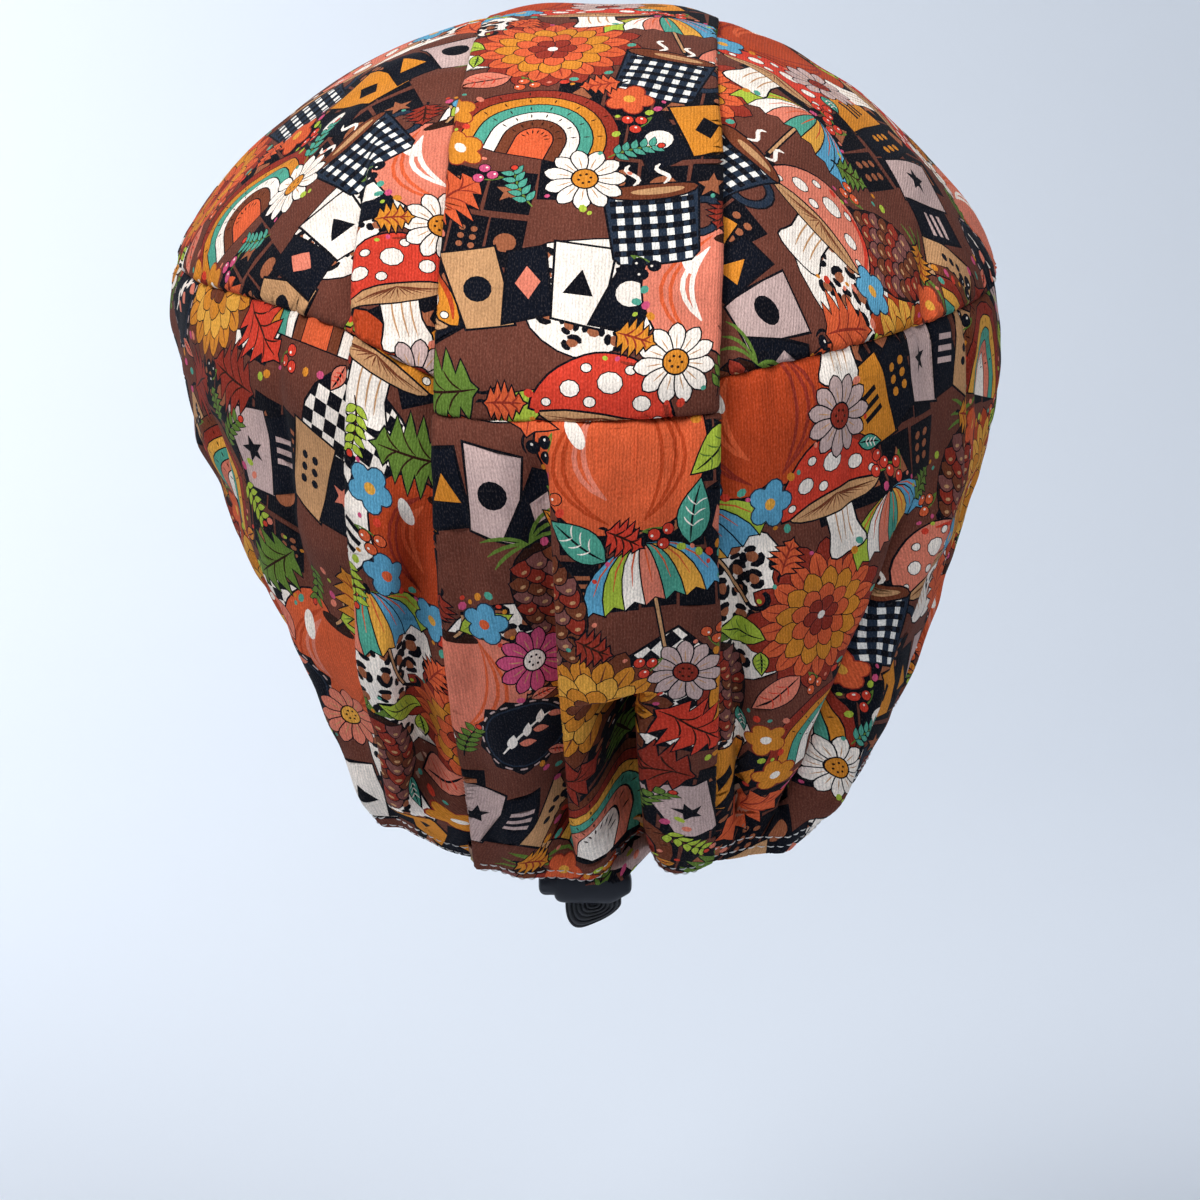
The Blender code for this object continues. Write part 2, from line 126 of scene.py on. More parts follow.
# Columns: turn at the seam, halfway and at the hem, start, end, half width, height at start and at end, lap
LEFT_FOLDS = (
    (22.6, 22.8, 23.4, 0.00, 0.90, 2.0, 0.65, 1.10, -1),
    (16.0, 18.4, 20.8, 0.28, 0.84, 1.2, -0.70, -1.25, -1),
    (46.0, 41.0, 35.0, 0.18, 1.00, 1.7, 0.15, 0.45, 0),
    (57.0, 51.0, 43.0, 0.25, 1.00, 1.3, -0.25, -0.60, 0),
    (35.0, 34.0, 31.0, 0.06, 0.48, 0.7, -0.16, -0.20, 0),
    (72.0, 67.0, 60.0, 0.30, 1.00, 0.9, -0.14, -0.30, 0),
    (98.0, 96.0, 95.0, 0.20, 1.00, 1.1, -0.12, -0.35, 0),
)
RIGHT_FOLDS = (
    (-16.0, -16.5, -17.5, 0.34, 0.95, 0.9, -0.70, -0.90, 0),
    (-54.0, -38.0, -21.0, 0.38, 0.93, 1.4, -0.80, -1.25, 0),
    (-64.0, -47.0, -30.0, 0.30, 0.95, 1.4, 0.30, 0.70, 0),
    (-45.0, -45.0, -45.0, 0.00, 0.16, 1.0, -0.25, -0.10, 0),
    (-26.0, -25.0, -24.0, 0.50, 1.00, 1.2, 0.10, 0.30, 0),
    (-57.0, -56.0, -53.0, 0.02, 0.42, 0.5, -0.24, -0.16, 0),
    (-31.0, -30.0, -29.0, 0.04, 0.40, 0.6, -0.10, -0.18, 0),
    (-78.0, -72.0, -66.0, 0.25, 1.00, 1.0, -0.14, -0.40, 0),
    (-101.0, -99.0, -97.0, 0.20, 1.00, 1.1, -0.12, -0.35, 0),
)
BACK_FOLDS = (
    (3.8, 2.9, 2.5, 0.13, 0.94, 1.0, -0.60, -1.20, 1),
    (-5.4, -5.4, -5.8, 0.59, 1.06, 1.6, -3.20, -1.40, 1),
    (-5.4, -5.4, -5.8, 0.60, 1.00, 1.2, -1.10, -0.60, 1),
    (-3.6, -3.6, -3.6, 0.40, 0.60, 1.5, 0.20, 0.36, 0),
    (8.5, 8.5, 8.0, 0.20, 1.00, 0.9, 0.15, 0.30, 0),
    (-2.0, -2.0, -1.5, 0.15, 1.00, 0.8, 0.20, 0.35, 0),
    (-11.0, -11.0, -11.0, 0.50, 1.00, 0.5, 0.10, 0.25, 0),
    (-9.6, -9.2, -9.0, 0.08, 0.44, 0.5, -0.10, -0.14, 0),
    (11.0, 10.6, 10.4, 0.16, 0.60, 0.4, -0.08, -0.12, 0),
)


def between(rows, column, place):
    """A column of a table at any places, by a smooth curve through its rows."""
    at = np.array([row[0] for row in rows])
    value = np.array([row[column] for row in rows])
    slope = np.gradient(value, at)
    slope[1:-1] = (value[2:] - value[:-2]) / (at[2:] - at[:-2])
    place = np.clip(place, at[0], at[-1])
    k = np.clip(np.searchsorted(at, place, side="right") - 1, 0, len(at) - 2)
    span = at[k + 1] - at[k]
    s = (place - at[k]) / span
    return (
        value[k] * (1 + 2 * s) * (1 - s) ** 2
        + slope[k] * span * s * (1 - s) ** 2
        + value[k + 1] * (3 - 2 * s) * s**2
        - slope[k + 1] * span * (1 - s) * s**2
    )


def section(column, turn):
    return np.where(
        turn >= 0,
        between(LEFT_SECTIONS, column, np.abs(turn)),
        between(RIGHT_SECTIONS, column, np.abs(turn)),
    )


def ease(share):
    share = np.clip(share, 0, 1)
    return share * share * (3 - 2 * share)


def mix(first, second, share):
    return first + (second - first) * share


def stack(x, y, z):
    x, y, z = np.broadcast_arrays(x, y, z)
    return np.stack([x, y, z], axis=-1).astype(float)


def half_width(side):
    return CAP_WIDTH / 2 + np.where(np.asarray(side) >= 0, SIDE_LEAN, -SIDE_LEAN)


def seam_reach(turn):
    turn = np.radians(turn)
    along = np.cos(turn)
    along = along / np.where(along > 0, BACK_REACH, BROW_REACH)
    return 1 / np.hypot(np.sin(turn) / half_width(turn), along)


def seam_turn(x, reach=BACK_REACH):
    wide = half_width(x)
    x = np.clip(x, -wide, wide)
    return np.degrees(np.arctan2(x, reach * np.sqrt(1 - (x / wide) ** 2)))


def seam_place(x, reach=BACK_REACH):
    turn = seam_turn(x, reach)
    return seam_reach(turn) * np.cos(np.radians(turn))


def seam_drop(turn):
    return CROWN_DROP * section(1, turn)


def leaning(turn, lean):
    turn, lean = np.radians(turn), np.radians(lean)
    return stack(np.sin(turn) * np.sin(lean), np.cos(turn) * np.sin(lean), np.cos(lean))


def fold_lines(folds, turn, down):
    """For each fold, how far cloth lies past its line, and its half width, height and lap."""
    for first, middle, last, start, end, width, high, low, lap in folds:
        line = mix(mix(first, middle, 2 * down), mix(middle, last, 2 * down - 1), down)
        height = FOLD_DEPTH * mix(high, low, ease((down - start) / (end - start)))
        if start > 0:
            height = height * ease((down - start) / (FOLD_FADE if start < 0.58 else FOLD_FADE / 2) + 0.5)
        if end < 1:
            height = height * ease((end - down) / FOLD_FADE + 0.5)
        yield (turn - line) * TURN_LENGTH, width * FOLD_WIDTH, height, lap


def fold_height(folds, turn, down):
    total = np.zeros(np.broadcast(turn, down).shape)
    for offset, width, height, lap in fold_lines(folds, turn, down):
        away = np.abs(offset)
        if lap:
            # A deep hollow has a floor beside its steep side
            floor = np.where(height < -DEEP, FLOOR, 1)
            form = np.where(offset * lap > 0, ease((1 - away / width) * floor), ease(1 - away / LAP_EDGE))
        else:
            form = np.cos(np.pi / 2 * np.minimum(away / width, 1)) ** 2
            crease = np.maximum(1 - away / (CREASE_WIDTH * width), 0) ** 1.5
            form = form + np.where(height < 0, CREASE_DEPTH * crease, 0)
        total += form * height
    return total


def fold_shift(folds, turn, down):
    """How far cloth goes sideways at its folds: laps reach over, and valleys close above their floors."""
    total = np.zeros(np.broadcast(turn, down).shape)
    for offset, width, height, lap in fold_lines(folds, turn, down):
        deep = np.minimum(np.abs(height) / FOLD_DEPTH, 1)
        if lap:
            fallen = -offset * lap
            over = 1 - 2 * ease(fallen / LAP_EDGE)
            beyond = np.maximum(np.maximum(-fallen, fallen - LAP_EDGE), 0)
            total -= lap * LAP_OVER * deep * over * np.exp(-beyond / LAP_EASE)
        else:
            place = np.minimum(np.abs(offset) / width, 1)
            close = np.where(height < 0, PINCH * width * deep, 0)
            total -= np.sign(offset) * close * 16 * (place * (1 - place)) ** 2
    return total


def roll(distance, length):
    return 1 - np.exp(-np.maximum(distance, 0) / length)


def crown_base(x, y):
    turn = np.degrees(np.arctan2(x, y))
    share = np.minimum(np.hypot(x, y) / seam_reach(turn), 1)
    edge = math.radians(CROWN_EDGE_ANGLE)
    fall = (1 - np.sqrt(1 - (share * math.sin(edge)) ** 2)) / (1 - math.cos(edge))
    shrink = share * seam_reach(turn) / np.maximum(np.hypot(x, y), 1e-9)
    return stack(x * shrink, y * shrink, CROWN_TOP - seam_drop(turn) * fall)


def crown_direction(x, y):
    turn = np.degrees(np.arctan2(x, y))
    return leaning(turn, SEAM_LEAN * np.minimum(np.hypot(x, y) / seam_reach(turn), 1))


def wall_base(turn, down):
    size = np.abs(turn)
    seam = leaning(size, 90) * seam_reach(turn)[..., None]
    seam[..., 2] = CROWN_TOP - seam_drop(turn)
    hem = stack(
        HEM_WIDTH / 2 * section(2, turn),
        NAPE_REACH * section(3, turn),
        CROWN_TOP - NAPE_DROP * section(4, turn),
    )
    drawn_in = (np.maximum(down - HANG_START, 0) / (1 - HANG_START)) ** HANG_CURVE
    point = seam + (hem - seam) * drawn_in[..., None]
    point[..., 2] = mix(seam[..., 2], hem[..., 2], down)
    belly = FOLD_DEPTH * section(5, turn) * np.sin(np.pi * down)
    point += leaning(size, 90) * belly[..., None]
    point[..., 0] *= np.where(turn >= 0, 1, -1)
    return point


def wall_direction(turn, down):
    return leaning(turn, mix(SEAM_LEAN, HEM_LEAN, down))


def wall_length(turn):
    turn = np.asarray(turn, float)
    return np.linalg.norm(wall_base(turn, np.ones_like(turn)) - wall_base(turn, np.zeros_like(turn)), axis=-1)


def strip_half(y):
    return mix(STRIP_TOP_WIDTH, STRIP_WIDTH, ease(y / BACK_REACH)) / 2


def edge_turn(side):
    return float(seam_turn(side * STRIP_WIDTH / 2))


def strip_proud(y):
    return mix(TOP_PROUD, STRIP_PROUD, ease(y / BACK_REACH))


def ripple(seed, waves, across, up):
    """Soft unevenness: a sum of seeded waves, each (length, height) in metres, at places in metres."""
    random = np.random.default_rng(seed)
    height = np.zeros(np.broadcast(across, up).shape)
    for length, size in waves:
        for _ in range(7):
            way = random.uniform(0, math.tau)
            stretch = length * random.uniform(0.7, 1.5)
            phase = random.uniform(0, math.tau)
            place = across * math.cos(way) + up * math.sin(way)
            height = height + size / 2.6 * np.sin(place * math.tau / stretch + phase)
    return height


def unit(vectors):
    return vectors / np.maximum(np.linalg.norm(vectors, axis=-1, keepdims=True), 1e-12)


def frame_of(points):
    """Directions across and down a table and its outward normal."""
    across = unit(np.gradient(points, axis=1))
    down = unit(np.gradient(points, axis=0))
    return across, down, unit(np.cross(down, across))


def smooth(values, passes):
    """A table evened out, with its edges kept where they are."""
    for _ in range(passes):
        inner = values.copy()
        inner[1:-1] = (values[:-2] + 2 * values[1:-1] + values[2:]) / 4
        values = inner.copy()
        values[:, 1:-1] = (inner[:, :-2] + 2 * inner[:, 1:-1] + inner[:, 2:]) / 4
    return values


def curled(distance, radius, limit):
    """How far cloth has gone outwards and inwards at a distance past its edge, turning round a radius."""
    radius = np.maximum(radius, 1e-5)
    angle = np.minimum(distance / radius, limit)
    rest = np.maximum(distance - radius * limit, 0)
    return (
        radius * np.sin(angle) + rest * math.cos(limit),
        radius * (1 - np.cos(angle)) + rest * math.sin(limit),
    )


def with_edges(points, left=None, right=None, top=None, bottom=None):
    """A table with its cloth carried on past its edges. Each edge is (length, radius, turn in degrees)."""
    across, down, outward = frame_of(points)
    edges = {"left": left, "right": right, "top": top, "bottom": bottom}
    count = {name: int(math.ceil(edge[0] / CELL)) if edge else 0 for name, edge in edges.items()}
    pad = ((count["top"], count["bottom"]), (count["left"], count["right"]), (0, 0))
    across, down, outward, made = (np.pad(t, pad, mode="edge") for t in (across, down, outward, points))
    rows, columns = made.shape[:2]
    for name, edge in edges.items():
        if not edge:
            continue
        length, radius, limit = edge
        size = rows if name in ("top", "bottom") else columns
        steps = np.arange(size)
        beyond = count[name] - steps if name in ("top", "left") else steps - (size - 1 - count[name])
        distance = np.maximum(beyond, 0) * length / max(count[name], 1)
        if name in ("left", "right"):
            distance = distance[None, :]
            radius = np.asarray(radius, float)
            if radius.ndim:
                radius = np.pad(radius, (count["top"], count["bottom"]), mode="edge")[:, None]
            way = -across if name == "left" else across
        else:
            distance = distance[:, None]
            way = -down if name == "top" else down
        out, inward = curled(distance, radius, math.radians(limit))
        out, inward = np.broadcast_arrays(out, inward)
        made = made + way * out[..., None] - outward * inward[..., None]
    return made, count


def evened(steps, axis, reach):
    """Steps averaged along an axis over so many to each side, twice."""
    count = 2 * reach + 1
    for _ in range(2):
        pad = [(0, 0), (0, 0)]
        pad[axis] = (reach + 1, reach)
        total = np.cumsum(np.pad(steps, pad, mode="edge"), axis=axis)
        size = total.shape[axis]
        ahead = np.take(total, np.arange(count, size), axis=axis)
        steps = (ahead - np.take(total, np.arange(0, size - count), axis=axis)) / count
    return steps


def lengths(points, column, row, reach):
    """Places in the flat cut, in millimetres: across from a column, and up from a row."""
    step = evened(np.linalg.norm(np.diff(points, axis=1), axis=-1) * 1000, 0, reach)
    across = np.concatenate([np.zeros((len(points), 1)), np.cumsum(step, axis=1)], axis=1)
    across -= across[:, column][:, None]
    step = evened(np.linalg.norm(np.diff(points, axis=0), axis=-1) * 1000, 1, reach)
    down = np.concatenate([np.zeros((1, points.shape[1])), np.cumsum(step, axis=0)], axis=0)
    down -= down[row][None, :]
    return across, -down


# The print: a generic autumn pattern, drawn as filled outlines in millimetres, y up
COLOURS = {
    "ground": "66382C", "ink": "0A0C14", "cream": "F4E6D8", "mauve": "C2A59E", "orange": "D25A33",
    "rust": "8E2F21", "mustard": "CF8129", "teal": "4E9A84", "sky": "5B9DBB", "lime": "A6B83E",
    "coral": "D97A62", "red": "CE3D2B", "plum": "7C4A44", "pink": "C94E74", "tan": "C08F63",
    "brown": "6E3823", "dark": "2E160F", "leaf": "5F7A30", "slate": "232E3D", "white": "EFE9E0",
    "deep": "B2411E", "gold": "E0A040", "night": "0D111B", "spot": "9A5A3C",
}


def linear(name):
    raw = [int(COLOURS[name][i : i + 2], 16) / 255 for i in (0, 2, 4)]
    return [c / 12.92 if c <= 0.04045 else ((c + 0.055) / 1.055) ** 2.4 for c in raw]


INKS = {name: linear(name) for name in COLOURS}


def turned(points, degrees, move=(0, 0), scale=1):
    a = math.radians(degrees)
    spin = np.array([[math.cos(a), math.sin(a)], [-math.sin(a), math.cos(a)]])
    return np.asarray(points, float) * scale @ spin + np.asarray(move, float)


def oval(x, y, wide, high, degrees=0, count=16):
    t = np.arange(count) / count * math.tau
    return turned(np.stack([np.cos(t) * wide, np.sin(t) * high], 1), degrees, (x, y))


def curve(points, steps=4):
    """A closed smooth line through points."""
    p = np.asarray(points, float)
    before, after, beyond = np.roll(p, 1, 0), np.roll(p, -1, 0), np.roll(p, -2, 0)
    made = []
    for k in range(steps):
        s = k / steps
        made.append(
            0.5 * (2 * p + (after - before) * s + (2 * before - 5 * p + 4 * after - beyond) * s**2
                   + (3 * p - before - 3 * after + beyond) * s**3)
        )
    return np.stack(made, 1).reshape(-1, 2)


def grown(points, amount):
    p = np.asarray(points, float)
    ahead, behind = unit(np.roll(p, -1, 0) - p), unit(p - np.roll(p, 1, 0))
    way = unit(ahead + behind)
    area = np.sum(p[:, 0] * np.roll(p[:, 1], -1) - p[:, 1] * np.roll(p[:, 0], -1))
    side = np.stack([way[:, 1], -way[:, 0]], 1) * (1 if area > 0 else -1)
    stretch = 1 / np.clip(np.sum(way * ahead, 1), 0.55, 1)
    return p + side * amount * stretch[:, None]


def band(points, width, taper=0.3):
    """A line drawn with a width that narrows to its ends."""
    p = np.asarray(points, float)
    way = unit(np.gradient(p, axis=0))
    side = np.stack([-way[:, 1], way[:, 0]], 1)
    t = np.linspace(-1, 1, len(p))
    half = width / 2 * (taper + (1 - taper) * np.sqrt(np.maximum(1 - t * t, 0)))[:, None]
    return np.concatenate([p + side * half, (p - side * half)[::-1]])


def bowed(start, end, bow, count=6):
    start, end = np.asarray(start, float), np.asarray(end, float)
    t = np.linspace(0, 1, count)[:, None]
    side = np.array([-(end - start)[1], (end - start)[0]])
    return start + (end - start) * t + side * bow * 4 * t * (1 - t)


def clipped(points, frame_points):
    """The part of an outline inside a convex one that runs anticlockwise."""
    out = [np.asarray(p, float) for p in points]
    for a, b in zip(frame_points, np.roll(frame_points, -1, 0)):
        kept = []
        for p, q in zip(out, out[1:] + out[:1]):
            side_p = (b[0] - a[0]) * (p[1] - a[1]) - (b[1] - a[1]) * (p[0] - a[0])
            side_q = (b[0] - a[0]) * (q[1] - a[1]) - (b[1] - a[1]) * (q[0] - a[0])
            if side_p >= 0:
                kept.append(p)
            if side_p * side_q < 0:
                kept.append(p + (q - p) * side_p / (side_p - side_q))
        out = kept
        if len(out) < 3:
            return None
    return np.array(out)


class Pen:
    """Collects filled outlines, the later ones over the earlier.

    Places are shares of the motif's radius. Line widths and growth are in millimetres.
    """

    def __init__(self, radius):
        self.radius = radius
        self.shapes = []

    def fill(self, points, colour, grow=0.0):
        if points is not None and len(points) > 2:
            self.shapes.append((grown(np.asarray(points, float) * self.radius, grow), colour))

    def inked(self, points, colour, line=0.5):
        self.fill(points, "ink", line)
        self.fill(points, colour)

    def line(self, points, width=0.6, colour="ink", taper=0.3):
        self.shapes.append((band(np.asarray(points, float) * self.radius, width, taper), colour))

    def bow(self, start, end, bend, width=0.6, colour="ink", taper=0.3, count=6):
        self.line(bowed(start, end, bend, count), width, colour, taper)


def box_shape(wide, high, x=0.0, y=0.0):
    return np.array([(-wide, -high), (wide, -high), (wide, high), (-wide, high)]) + [x, y]


def leaf_shape(long, wide, lobes=0):
    t = np.linspace(0, 1, 9 if not lobes else 4 * lobes + 1)[1:-1]
    edge = np.sin(np.pi * t**0.8) * wide
    if lobes:
        edge = edge * (1 + 0.42 * np.cos(np.arange(1, len(t) + 1) * np.pi))
    side = np.stack([edge, t * long], 1)
    return np.concatenate([[[0, 0]], side, [[0, long]], (side * [-1, 1])[::-1]])


def ring_of(count, reach, start=0.0):
    """Places evenly round a circle, with the angle of each in degrees."""
    for i in range(count):
        degrees = i * 360 / count + start
        yield degrees, turned([(reach, 0)], degrees)[0]


def leaf(pen, k):
    looks = (("rust", "dark"), ("leaf", "dark"), ("orange", "rust"), ("red", "dark"), ("mustard", "rust"))
    body, vein = looks[k % 5]
    pen.bow((0, -1.15), (0, -0.7), 0.2, 0.9)
    pen.inked(curve(leaf_shape(1.7, 0.62, 3), 2) + [0, -0.8], body, 0.45)
    pen.bow((0, -0.75), (0, 0.72), 0.02, 0.7, vein)
    for up, long in ((-0.45, 0.4), (-0.1, 0.46), (0.25, 0.3)):
        for side in (-1, 1):
            pen.bow((0, up), (side * long, up + 0.33), 0.1 * side, 0.5, vein)


def plain_leaf(pen, k):
    body, shine = (("lime", "leaf"), ("coral", "red"), ("teal", "cream"), ("mustard", "deep"))[k % 4]
    pen.inked(curve(leaf_shape(1.8, 0.45), 1) + [0, -0.9], body, 0.4)
    pen.bow((0, -0.85), (0, 0.75), 0.04)
    for up in (-0.4, -0.1, 0.2):
        for side in (-1, 1):
            pen.bow((0, up), (side * 0.28, up + 0.22), 0.1, 0.4, shine)


def petals(pen, count, inner, outer, wide, colour, start=0.0, line=0.35):
    shape = [(inner, 0), (mix(inner, outer, 0.35), -wide * 0.8), (mix(inner, outer, 0.75), -wide), (outer, 0),
             (mix(inner, outer, 0.75), wide), (mix(inner, outer, 0.35), wide * 0.8)]
    for i in range(count):
        pen.inked(turned(curve(shape, 2), (i + start) * 360 / count), colour, line)


def dahlia(pen, k):
    rings = (("rust", "orange", "mustard"), ("brown", "mustard", "gold"), ("deep", "gold", "mustard"))[k % 3]
    petals(pen, 17, 0.3, 1.0, 0.15, rings[0])
    petals(pen, 17, 0.3, 0.86, 0.115, rings[1], 0.5, 0.25)
    for i in range(17):
        pen.line(turned([(0.4, 0), (0.6, 0), (0.8, 0)], (i + 0.5) * 360 / 17), 0.6, rings[0])
    # Petals, from where to where, half width, colour and start
    for row in ((13, 0.15, 0.66, 0.12, 2, 0.2), (9, 0.08, 0.45, 0.11, 1, 0.6), (6, 0.02, 0.27, 0.09, 0, 0.1)):
        petals(pen, *row[:4], rings[row[4]], row[5], 0.3)
    pen.fill(oval(0, 0, 0.06, 0.06, 0, 8), "cream")


def daisy(pen, k):
    body, heart = (("cream", "mustard"), ("mauve", "rust"), ("coral", "gold"), ("pink", "cream"))[k % 4]
    petals(pen, 11, 0.2, 1.0, 0.19, body, 0, 0.4)
    for i in range(11):
        pen.line(turned([(0.35, 0), (0.5, 0), (0.7, 0)], i * 360 / 11), 0.4, "tan")
    pen.inked(oval(0, 0, 0.3, 0.3), heart, 0.5)
    for _, spot in ring_of(6, 0.15):
        pen.fill(oval(*spot, 0.04, 0.04, 0, 6), "dark")


def blossom(pen, k):
    body, heart = (("sky", "gold"), ("mustard", "cream"), ("orange", "gold"), ("sky", "orange"))[k % 4]
    for grow, colour in ((0.06, "slate" if body == "sky" else "rust"), (0, body)):
        for degrees, spot in ring_of(5, 0.52, 90):
            pen.fill(oval(*spot, 0.44 + grow, 0.38 + grow, degrees, 12), colour)
    pen.fill(oval(0, 0, 0.24, 0.24, 0, 10), heart)


def apple(pen, k):
    looks = (("orange", "deep", "coral"), ("deep", "rust", "orange"), ("coral", "orange", "cream"))
    body, shade, shine = looks[k % 3]
    half = ((0.3, 0.78), (0.72, 0.72), (0.98, 0.28), (0.93, -0.3), (0.6, -0.8), (0.22, -0.92))
    pen.inked(curve([(0, 0.62), *half, (0, -0.84), *((-x, y) for x, y in half[::-1])], 3), body, 0.6)
    for side, reach in ((1, 0.8), (1, 0.62), (-1, 0.84), (1, 0.36), (-1, 0.66)):
        pen.bow((side * 0.2, -0.8), (side * 0.3, 0.66), -side * reach * 0.42, 1.1, shade, count=9)
    for reach in (0.5, 0.3):
        pen.bow((-0.2, -0.5), (-0.3, 0.5), reach * 0.55, 1.4, shine, count=8)
    pen.fill(oval(-0.5, 0.3, 0.09, 0.2, 24), "cream")
    pen.fill(oval(0.02, 0.62, 0.3, 0.09), "dark")
    pen.bow((0, 0.6), (0.12, 1.05), -0.15, 2.0, "ink", 0.7)
    pen.bow((0, 0.62), (0.11, 1.0), -0.15, 1.0, "tan", 0.7)
    pen.inked(turned(curve(leaf_shape(0.75, 0.19), 1), -62, (0.08, 0.75)), "lime", 0.4)
    pen.line(turned(bowed((0, 0.05), (0, 0.65), 0.05), -62, (0.08, 0.75)), 0.5, "leaf")


def mushroom(pen, k):
    cap, shade = (("red", "rust"), ("coral", "red"), ("mustard", "deep"))[k % 3]
    stem = ((-0.24, 0.1), (-0.27, -0.5), (-0.36, -0.86), (0, -0.95), (0.36, -0.86), (0.27, -0.5), (0.24, 0.1))
    pen.inked(curve(stem, 3), "cream", 0.55)
    for x in (-0.1, 0.04, 0.17):
        pen.bow((x, -0.75), (x, -0.1), 0.04, 0.5, "tan")
    pen.inked(oval(0, 0.02, 0.86, 0.22, 0, 20), "tan", 0.5)
    for i in range(-6, 7):
        pen.line([(0, 0.06), (i * 0.06, -0.02), (i * 0.125, -0.13 * math.cos(i / 5))], 0.4, "brown")
    top = ((-0.98, 0.02), (-0.82, 0.5), (-0.4, 0.86), (0, 0.95), (0.4, 0.86), (0.82, 0.5), (0.98, 0.02),
           (0.5, 0.1), (0, 0.13), (-0.5, 0.1))
    pen.inked(curve(top, 3), cap, 0.6)
    pen.bow((0.9, 0.1), (0.1, 0.86), -0.2, 1.6, shade, count=9)
    for x, y, size in ((-0.5, 0.38, 0.13), (0.02, 0.55, 0.17), (0.5, 0.34, 0.12), (-0.2, 0.25, 0.08),
                       (0.26, 0.76, 0.07), (-0.34, 0.7, 0.07), (0.76, 0.14, 0.06), (-0.78, 0.14, 0.06)):
        pen.inked(oval(x, y, size, size * 0.85, 0, 10), "cream", 0.3)


def arcs(pen, k):
    rows = (("rust", "mustard", "teal", "cream", "brown", "orange"),
            ("brown", "rust", "gold", "teal", "coral", "cream"))[k % 2]
    t = np.linspace(0, np.pi, 18)
    for i, colour in enumerate(rows):
        reach = 1 - 0.155 * i
        half = np.concatenate([np.stack([np.cos(t), np.sin(t)], 1) * reach, [[-reach, -0.3], [reach, -0.3]]])
        pen.inked(half + [0, -0.3], colour, 0.4)
        for j in range(1, 8):
            way = np.array([math.cos(math.pi * j / 8), math.sin(math.pi * j / 8)])
            pen.line([way * (reach - inwards) - [0, 0.3] for inwards in (0.10, 0.065, 0.03)], 0.5, "dark")


def figure(kind, size):
    """The outlines of one of six plain figures."""
    if kind == 0:
        return [oval(0, 0, size, size, 0, 14)]
    if kind == 1:
        t = np.arange(10) / 10 * math.tau
        return [np.stack([np.sin(t), np.cos(t)], 1) * np.where(np.arange(10) % 2, 0.48, 1.1)[:, None] * size]
    if kind == 2:
        return [np.array([(0, -1.3), (0.85, 0), (0, 1.3), (-0.85, 0)]) * size]
    if kind == 3:
        return [box_shape(0.9, 0.2, 0, y) * size for y in (-0.7, 0.1, 0.9)]
    if kind == 4:
        return [np.array([(-1, -0.9), (1, -0.9), (0, 1.1)]) * size]
    spots = [(x, y) for x in (-0.55, 0.55) for y in (-0.8, 0.1, 1.0)]
    return [oval(x * size, y * size, 0.32 * size, 0.32 * size, 0, 8) for x, y in spots]


def tiles(pen, k):
    """A bent row of tiles, each with a plain figure."""
    looks = (("night", "cream"), ("mauve", "ink"), ("night", "coral"), ("mustard", "ink"), ("night", "mauve"),
             ("cream", "ink"), ("night", "mustard"), ("tan", "night"))
    high, wide = 0.33, 0.225
    for i in range(5):
        back, front = looks[(i * 3 + k) % 8]
        lean = (i - 2) * -11.5
        centre = turned([(0, 2.0)], lean)[0] - [0, 1.95]
        corners = box_shape(wide * 0.82, high)
        corners += np.array([(0, 0.02), (0, -0.05), (0.06, 0.0), (-0.03, 0.05)]) * (1 if (i + k) % 2 else -1)
        pen.inked(turned(corners, lean + (4 if i % 2 else -3), centre), back, 0.7)
        for points in figure((i * 2 + k) % 6, wide * 0.52):
            pen.fill(turned(points, lean, centre), front)


def blocks(pen, k):
    """Rows of dark blocks with plain figures in the ground's brown."""
    random = np.random.default_rng(80 + k)
    for row in range(3):
        count = 4 + (row + k) % 2
        for i in range(count):
            wide, high = 0.86 / count, random.uniform(0.25, 0.29)
            spot = (i - (count - 1) / 2) * 2 * 0.92 / count, (row - 1) * 0.6
            pen.fill(turned(box_shape(wide, high), random.uniform(-3, 3), spot), "ink")
            for points in figure((i + 2 * row + k) % 6, wide * 0.62):
                pen.fill(points + spot, "spot")


def leopard(pen, k):
    random = np.random.default_rng(50 + k)
    edge = [turned([(random.uniform(0.8, 1.06), 0)], i * 40)[0] * [1.0, 1.12] for i in range(9)]
    pen.inked(curve(edge, 3), "cream", 0.5)
    step = 0.27 if pen.radius > 20 else 0.33
    for j in range(-5, 6):
        for i in range(-5, 6):
            x = (i + 0.5 * (j % 2)) * step + random.uniform(-0.16, 0.16) * step
            y = j * step * 0.9 + random.uniform(-0.16, 0.16) * step
            if math.hypot(x, y / 1.12) > 0.84:
                continue
            tilt, size = random.uniform(0, 360), step * random.uniform(0.32, 0.42)
            pen.fill(oval(x, y, size * 0.75, size * 0.6, tilt, 8), "spot")
            start = 0
            for _ in range(random.integers(2, 4)):
                sweep = random.uniform(70, 130)
                t = np.radians(np.linspace(start, start + sweep, 5))
                ring = np.stack([np.cos(t) * size, np.sin(t) * size * 0.82], 1)
                pen.line(turned(ring, tilt, (x, y)), size * 0.72 * pen.radius, "ink", 0.5)
                start += sweep + random.uniform(18, 40)


def checks(pen, k):
    count = 5 if k % 2 else 24
    t = np.arange(count) / count * math.tau + 0.3
    edge = np.stack([np.cos(t), np.sin(t)], 1)
    pen.inked(edge, "cream", 0.8)
    side = 4.1 / pen.radius
    reach = int(1 / side) + 2
    for i in range(-reach, reach):
        for j in range(-reach, reach):
            if (i + j) % 2 == 0:
                square = (box_shape(0.5, 0.5, 0.5, 0.5) + [i, j]) * side
                pen.fill(clipped(turned(square, 12 * (k % 3)), edge), "ink")


